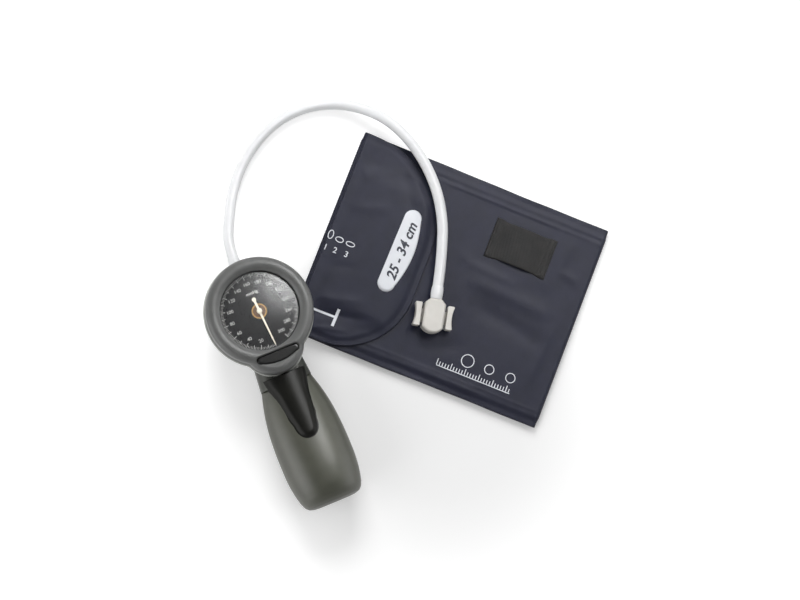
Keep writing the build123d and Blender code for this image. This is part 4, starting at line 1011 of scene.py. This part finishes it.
def round_dial(radius, height):
    """Points round the dial, by their distances and heights in each direction."""
    return np.stack([radius * np.cos(directions), radius * np.sin(directions), height + 0 * radius], -1)


def level_rows(values):
    """A row of points for each value, the same in every direction."""
    return np.outer(values, np.ones(len(directions)))


reach = outline_reach[None, :]
inner_rows = level_rows(np.linspace(inner_radius, crest_radius, 16))
outer_share = np.sin(np.linspace(0, 1, 44)[1:, None] * np.pi / 2)
outer_rows = crest_radius + (reach - crest_radius) * outer_share
top_r = np.concatenate([inner_rows, outer_rows])
top_z = bumper_height(top_r * np.cos(directions), top_r * np.sin(directions), reach)
wall = np.array([(0.0, 38.5), (0.0, 36.0), (0.0, 33.6), (0.02, 33.0), (0.04, 31.3), (-0.3, 31.02)])
back = np.array([(31.56, 31.02), (31.56, 36.0), (31.56, 42.76), (29.0, 42.76), (inner_radius, 42.82)])
bumper_r = np.concatenate([top_r, reach + wall[:, :1], level_rows(back[:, 0])])
bumper_z = np.concatenate([top_z, level_rows(wall[:, 1]), level_rows(back[:, 1])])
bumper_tones = (80, 81, 80), (90, 91, 90)
bumper_rubber = finish("bumper_rubber", *bumper_tones, (0.36, 0.48), 0.35, 0.03, Specular_IOR_Level=0.6)
bumper_shell = skin("bumper_shell", round_dial(bumper_r, bumper_z), head, bumper_rubber, wrap_rows=True)
settle(bumper_shell, "instrument", "bumper_rubber", "bumper")

# %% The plate in its recess
badge_middle = np.array([0.0, -31.6])
badge_turn = all_round(160)
badge_way = np.column_stack([np.cos(badge_turn), np.sin(badge_turn)])
badge_near, badge_far = np.zeros_like(badge_turn), np.full_like(badge_turn, 20.0)
badge_rim = 0.28
for _ in range(30):
    badge_guess = (badge_near + badge_far) / 2
    spot = badge_middle + badge_guess[:, None] * badge_way
    within = badge_inside(spot[:, 0], spot[:, 1]) > badge_rim
    badge_near = np.where(within, badge_guess, badge_near)
    badge_far = np.where(within, badge_far, badge_guess)
badge_outline = badge_middle + badge_near[:, None] * badge_way
badge_gloss = finish("badge_gloss", (14, 14, 14), (20, 20, 19), (0.2, 0.28), 0.3, 0.006)
badge = coin(
    "badge",
    badge_outline,
    lambda x, y: 44.0 + 0.62 * ease(badge_inside(x, y) - badge_rim, 0.0, 0.9),
    level(43.82),
    badge_gloss,
    head,
    rings=22,
)
settle(badge, "instrument", "badge_black", "badge_plate")

# %% The bead under the bumper, painted pale as a highlight
bead_turn = all_round(14)[:, None]
bead_r = reach + 0.3 + 0.7 * np.cos(bead_turn)
bead_z = 31.9 + 0.75 * np.sin(bead_turn)
# The bead is a small rubber lip. Its pale grey is a painted highlight: the light that catches the rim under
# the bumper.
bead_painted_highlight = finish("bead_painted_highlight", (176, 178, 173), (192, 194, 189), (0.35, 0.5), 0.35, 0.02)
bead = skin("bumper_bead", round_dial(bead_r, bead_z), head, bead_painted_highlight, wrap_rows=True)
settle(bead, "instrument", "bumper_rubber")

# %% [markdown]
# The dial is black with pale print: a scale of fine ticks, a longer one every ten, and a
# number every twenty, upright as the gauge is held. Zero is at the handle. Ticks are small
# flat strokes, worked out all at once from their angles.

# %% The dial's scale
dial_face = level(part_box("dial_plate")[1][2] / MM)
dial_gloss = (0.5, 0.6)
print_tones = (206, 206, 202), (222, 222, 218)
dial_tones = (20, 20, 22), (25, 25, 27)
dial_black = finish("dial_black", *dial_tones, dial_gloss, 0.3, 0.01, Specular_IOR_Level=0.08)
dial_print = finish("dial_print", *print_tones, dial_gloss, 0.3, 0.01, Specular_IOR_Level=0.1)
dress(dial_black, "dial_plate")
# The gasket is painted mid grey rather than dark rubber, as painted light: it lifts the shaded wall seen
# between the bumper and the dial, like a reflection.
gasket_painted_light = finish("gasket_painted_light", (92, 92, 90), (108, 108, 106), (0.4, 0.5), 0.3, 0.01)
dress(gasket_painted_light, "window_gasket")
needle_zero = -90.0 + 3.5
degrees_each = 337.5 / 300.0


def on_dial(value, radius):
    """A place on the dial: pressures run clockwise from zero at the handle."""
    angle = np.radians(needle_zero - np.asarray(value, float) * degrees_each)
    return np.stack([radius * np.cos(angle), radius * np.sin(angle)], -1)


pressures = np.arange(0, 301, 2)
tick_inner = np.where(pressures % 20 == 0, 22.4, np.where(pressures % 10 == 0, 22.9, 23.7))
tick_width = np.where(pressures % 10 == 0, 0.3, 0.17)
tick_ends = on_dial(pressures, tick_inner), on_dial(pressures, 25.4)
dial_ticks = bars("dial_ticks", *tick_ends, tick_width, dial_face, head, dial_print, 0.03, 0.03)
marked = np.arange(0, 301, 20)
dial_items = [(str(value), *on_dial(value, 19.6 if value < 100 else 19.2), 0) for value in marked]
on_face = (dial_print, dial_face, head, 0.025, 0.02)
dial_numbers = numbers("dial_numbers", dial_items, 3.2, -0.03, 0.0, *on_face)
unit_words = numbers("dial_unit", [("mmHg", 0.0, 12.8, 0)], 3.0, 0.02, 0.0, *on_face)
for piece in (dial_ticks, dial_numbers, unit_words):
    settle(piece, "instrument", "dial_black")

# %% [markdown]
# The needle is enamelled sheet, the tube in the middle is brass, and the works behind the
# dial are brass and aluminium. They keep their CAD shapes.

# %% Needle and works
needle_cream = finish("needle_cream", (226, 218, 196), (240, 234, 216), (0.3, 0.4), 0.3, 0.01)
brass_tones = (196, 154, 92), (222, 186, 122)
brass = finish("brass", *brass_tones, (0.2, 0.34), 0.25, 0.01, stretch=(1, 1, 8), Metallic=1.0)
copper = finish("capsule_bronze", (172, 108, 72), (198, 136, 98), (0.24, 0.36), 0.3, 0.01, Metallic=1.0)
bare_tones = (168, 170, 173), (192, 194, 196)
aluminium = finish("aluminium", *bare_tones, (0.28, 0.42), 0.25, 0.012, stretch=(6, 1, 1), Metallic=1.0)
jewel_amber = finish("jewel_amber", (96, 70, 50), (122, 92, 66), (0.08, 0.16), 0.3, 0.004)
dress(needle_cream, "needle", "needle_hub")
dress(brass, "cartridge_tube", "hose_barb")
dress(copper, "diaphragm", "diaphragm_pan")
dress(aluminium, "movement_bridge", "retaining_ring", "neck_union")
dress(jewel_amber, "lower_jewel", "upper_jewel")

# %% [markdown]
# The window is a thin clear shell. Such a shell hardly bends what is seen through it, so the
# camera's rays pass straight on and only its gloss is added. Shadow rays pass too, or the dial
# would lie in the dark.

# %% The window
window_tones = (250, 251, 252), (255, 255, 255)
window_clear = finish(
    "window_clear", *window_tones, (0.0, 0.012), 1.2, 0.002, Transmission_Weight=1.0, IOR=1.49
)
window_tree = window_clear.node_tree
window_ray = add_node(window_tree, "LightPath").outputs
window_pass = add_node(window_tree, "BsdfTransparent").outputs[0]
window_shine = add_node(window_tree, "BsdfGlossy", {"Roughness": 0.24}).outputs[0]
window_angle = add_node(window_tree, "Fresnel", {"IOR": 1.49}).outputs[0]
window_glass = window_tree.nodes["Principled BSDF"].outputs[0]


def window_mix(share, first, second):
    """A shader that goes from the first to the second by a share."""
    return add_node(window_tree, "MixShader", {0: share, 1: first, 2: second}).outputs[0]


window_thin = window_mix(window_angle, window_pass, window_shine)
window_shade = window_mix(window_ray["Is Camera Ray"], window_glass, window_thin)
window_all = window_mix(window_ray["Is Shadow Ray"], window_shade, window_pass)
feed(window_tree, window_tree.nodes["Material Output"], {"Surface": window_all})
dress(window_clear, "window")

# %% [markdown]
# ## The handle
# The bulb is thick rubber, oval in section and blunt at its end, where the intake valve sits.
# CAD lofts it through ovals. Here the same ovals become one smooth surface: a curve along the
# handle gives each half width and half depth, and the end rolls in to the valve's hole.

# %% A smooth curve through given stations


def through(stations, values, at):
    """Cubic pieces through the given values, with slopes from their neighbours (Hermite's form)."""
    stations, values = np.asarray(stations, float), np.asarray(values, float)
    slopes = np.gradient(values, stations)
    place = np.clip(np.searchsorted(stations, at, side="right") - 1, 0, len(stations) - 2)
    step = stations[place + 1] - stations[place]
    t = (at - stations[place]) / step
    rise = values[place] * (2 * t**3 - 3 * t**2 + 1) + values[place + 1] * (3 * t**2 - 2 * t**3)
    return rise + step * (slopes[place] * (t**3 - 2 * t**2 + t) + slopes[place + 1] * (t**3 - t**2))


bulb_start, bulb_end, grip_height = 49.6, 133.6, 21.0
bulb_half, bulb_half_depth = 24.3, 20.8
bulb_ovals = np.array(
    [
        (0.0, 0.72, 0.58),
        (0.12, 0.835, 0.70),
        (0.25, 0.925, 0.81),
        (0.45, 0.99, 0.93),
        (0.60, 1.0, 0.985),
        (0.75, 0.985, 1.0),
        (0.88, 0.914, 0.94),
        (0.94, 0.852, 0.86),
        (0.975, 0.778, 0.76),
        (0.992, 0.695, 0.67),
        (1.0, 0.60, 0.58),
    ]
)


def bulb_oval(t):
    """The bulb's half width and half depth at a share of its length."""
    share, width, depth = bulb_ovals.T
    return through(share, width, t) * bulb_half, through(share, depth, t) * bulb_half_depth


bulb_t = 1 - (1 - np.linspace(0, 1, 110)) ** 1.7
bulb_width, bulb_depth = bulb_oval(bulb_t)
print("bulb half width", bulb_width.max().round(2), "half depth", bulb_depth.max().round(2))

# %% The bulb
hole_radius = 4.6
closing = np.linspace(1, 0, 14)[1:] ** 1.2
end_width = hole_radius + (bulb_width[-1] - hole_radius) * closing
end_depth = hole_radius + (bulb_depth[-1] - hole_radius) * closing
end_reach = bulb_end + 0.35 * np.sin(np.pi * closing)
widths = np.concatenate([[13.6, 13.6], bulb_width, end_width, [4.5, 4.5]])
depths = np.concatenate([[8.4, 8.4], bulb_depth, end_depth, [4.5, 4.5]])
along_bulb = bulb_start + bulb_t * (bulb_end - bulb_start)
reaches = np.concatenate([[56.0, bulb_start], along_bulb, end_reach, [133.2, 130.0]])
around = all_round(144)
fullness = 0.94
oval_x = np.sign(np.cos(around)) * np.abs(np.cos(around)) ** fullness
oval_z = np.sign(np.sin(around)) * np.abs(np.sin(around)) ** fullness
bulb_x = widths[:, None] * oval_x
bulb_z = np.maximum(grip_height + depths[:, None] * oval_z, 0.05)
bulb_points = np.stack([bulb_x, -reaches[:, None] + 0 * oval_x, bulb_z], -1)
bulb_rubber = finish(
    "bulb_rubber", (59, 60, 50), (67, 68, 57), (0.36, 0.48), 0.4, 0.03, Specular_IOR_Level=0.72
)
bulb = skin("squeeze_bulb", bulb_points, head, bulb_rubber)
settle(bulb, "instrument", "bulb_rubber", "bulb")

# %% [markdown]
# A glossy spine runs from under the chin down onto the bulb and ends in a round tip. Near the
# head its skirts flare out to the neck's corners. It is a tongue: the outline gives each
# half width, the top is an arch, and a rounded edge drops to the bulb all the way round.

# %% The spine's outline
spine_stations = [43.4, 46.0, 49.5, 53.0, 57.0, 62.0, 67.0, 73.0, 79.0]
spine_halves = [15.0, 14.9, 14.2, 12.9, 11.8, 11.1, 10.6, 9.6, 8.1]
spine_start, spine_round = 43.4, 79.0
side_reach = np.concatenate([np.linspace(spine_start, spine_round, 60), np.full(24, spine_round)])
tip_turn = np.concatenate([np.zeros(60), np.linspace(0, np.pi / 2, 25)[1:]])
side_x = through(spine_stations, spine_halves, side_reach) * np.cos(tip_turn) ** 0.85
side_reach = side_reach + 10.2 * np.sin(tip_turn)
right_edge = np.column_stack([side_x, side_reach])
left_edge = np.column_stack([-side_x, side_reach])[::-1][1:]
near_edge = np.column_stack([np.linspace(-15.0, 15.0, 24)[1:-1], np.full(22, spine_start)])
spine_outline = np.concatenate([right_edge, left_edge, near_edge])


def bulb_top(x, reach):
    """The upper side of the bulb, or of the neck before it."""
    t = np.clip((reach - bulb_start) / (bulb_end - bulb_start), 0, 1)
    width, depth = bulb_oval(t)
    on_bulb = grip_height + depth * dome(x / width)
    side = np.clip(np.abs(x) - 7.4, 0, 8.8)
    neck = grip_height + 2.5 + 9.0 * dome(side / 9.0)
    return np.where(reach < bulb_start, neck, np.maximum(on_bulb, 0))


def spine_top(x, reach):
    """The spine's arch, with skirts that lean down to the neck's corners."""
    half = np.interp(reach, [43.0, 58.0, 72.0, 92.0], [20.0, 19.5, 20.0, 22.0])
    depth = np.interp(reach, [43.0, 58.0, 72.0, 92.0], [15.8, 17.6, 19.6, 21.9])
    return grip_height + depth * dome(x / half)


# %% The spine
spine_share = np.concatenate([np.sin(np.linspace(0, 1, 26) * np.pi / 2), [1.0, 1.0]])[:, None, None]
keel = np.column_stack([0 * spine_outline[:, 0], np.clip(spine_outline[:, 1], 44.5, 80.0)])
spine_flat = keel + spine_share * (spine_outline - keel)
edge_gap = np.linalg.norm(spine_outline - spine_flat, axis=-1)
spine_z = spine_top(spine_flat[..., 0], spine_flat[..., 1])
rounding = 2.6 * np.clip(1 - edge_gap / 4.5, 0, 1) ** 2
spine_z = np.maximum(spine_z - rounding, bulb_top(spine_flat[..., 0], spine_flat[..., 1]) + 0.25)
seat_z = bulb_top(spine_outline[:, 0], spine_outline[:, 1])
spine_z[-2] = np.minimum(spine_z[-3], seat_z + 0.1)
spine_z[-1] = seat_z - 0.3
spine_points = np.stack([spine_flat[..., 0], -spine_flat[..., 1], spine_z], -1)
spine_gloss = finish(
    "spine_gloss", (19, 19, 17), (24, 24, 21), (0.28, 0.38), 0.4, 0.015, Specular_IOR_Level=0.13
)
spine = skin("spine_tongue", spine_points, head, spine_gloss, closed=False)
settle(spine, "instrument", "spine_gloss", "front_spine")

# %% [markdown]
# The rest of the handle keeps its CAD shape: the moulded neck, the rear case, the cover that
# holds the trigger, and the valves. Their finishes are the plain greys of moulded plastic.

# %% Case, neck, trigger and valves
case_grey = finish("case_grey", (66, 68, 64), (76, 78, 74), (0.38, 0.5), 0.35, 0.025)
neck_tones = (58, 60, 55), (66, 68, 62)
neck_grey = finish("neck_grey", *neck_tones, (0.34, 0.44), 0.35, 0.02, Specular_IOR_Level=0.34)
trigger_grey = finish("trigger_grey", (52, 53, 50), (64, 65, 61), (0.3, 0.42), 0.3, 0.02)
valve_grey = finish("valve_grey", (150, 151, 148), (172, 173, 169), (0.35, 0.5), 0.3, 0.02)
filter_felt = finish("filter_felt", (196, 194, 186), (214, 212, 204), (0.75, 0.95), 0.25, 0.12)
dress(case_grey, "rear_case", "neck_cover")
dress(neck_grey, "handle_frame")
dress(trigger_grey, "trigger", "valve_stem", "valve_sleeve")
dress(valve_grey, "outlet_valve_seat", "intake_valve_body")
dress(filter_felt, "intake_filter")
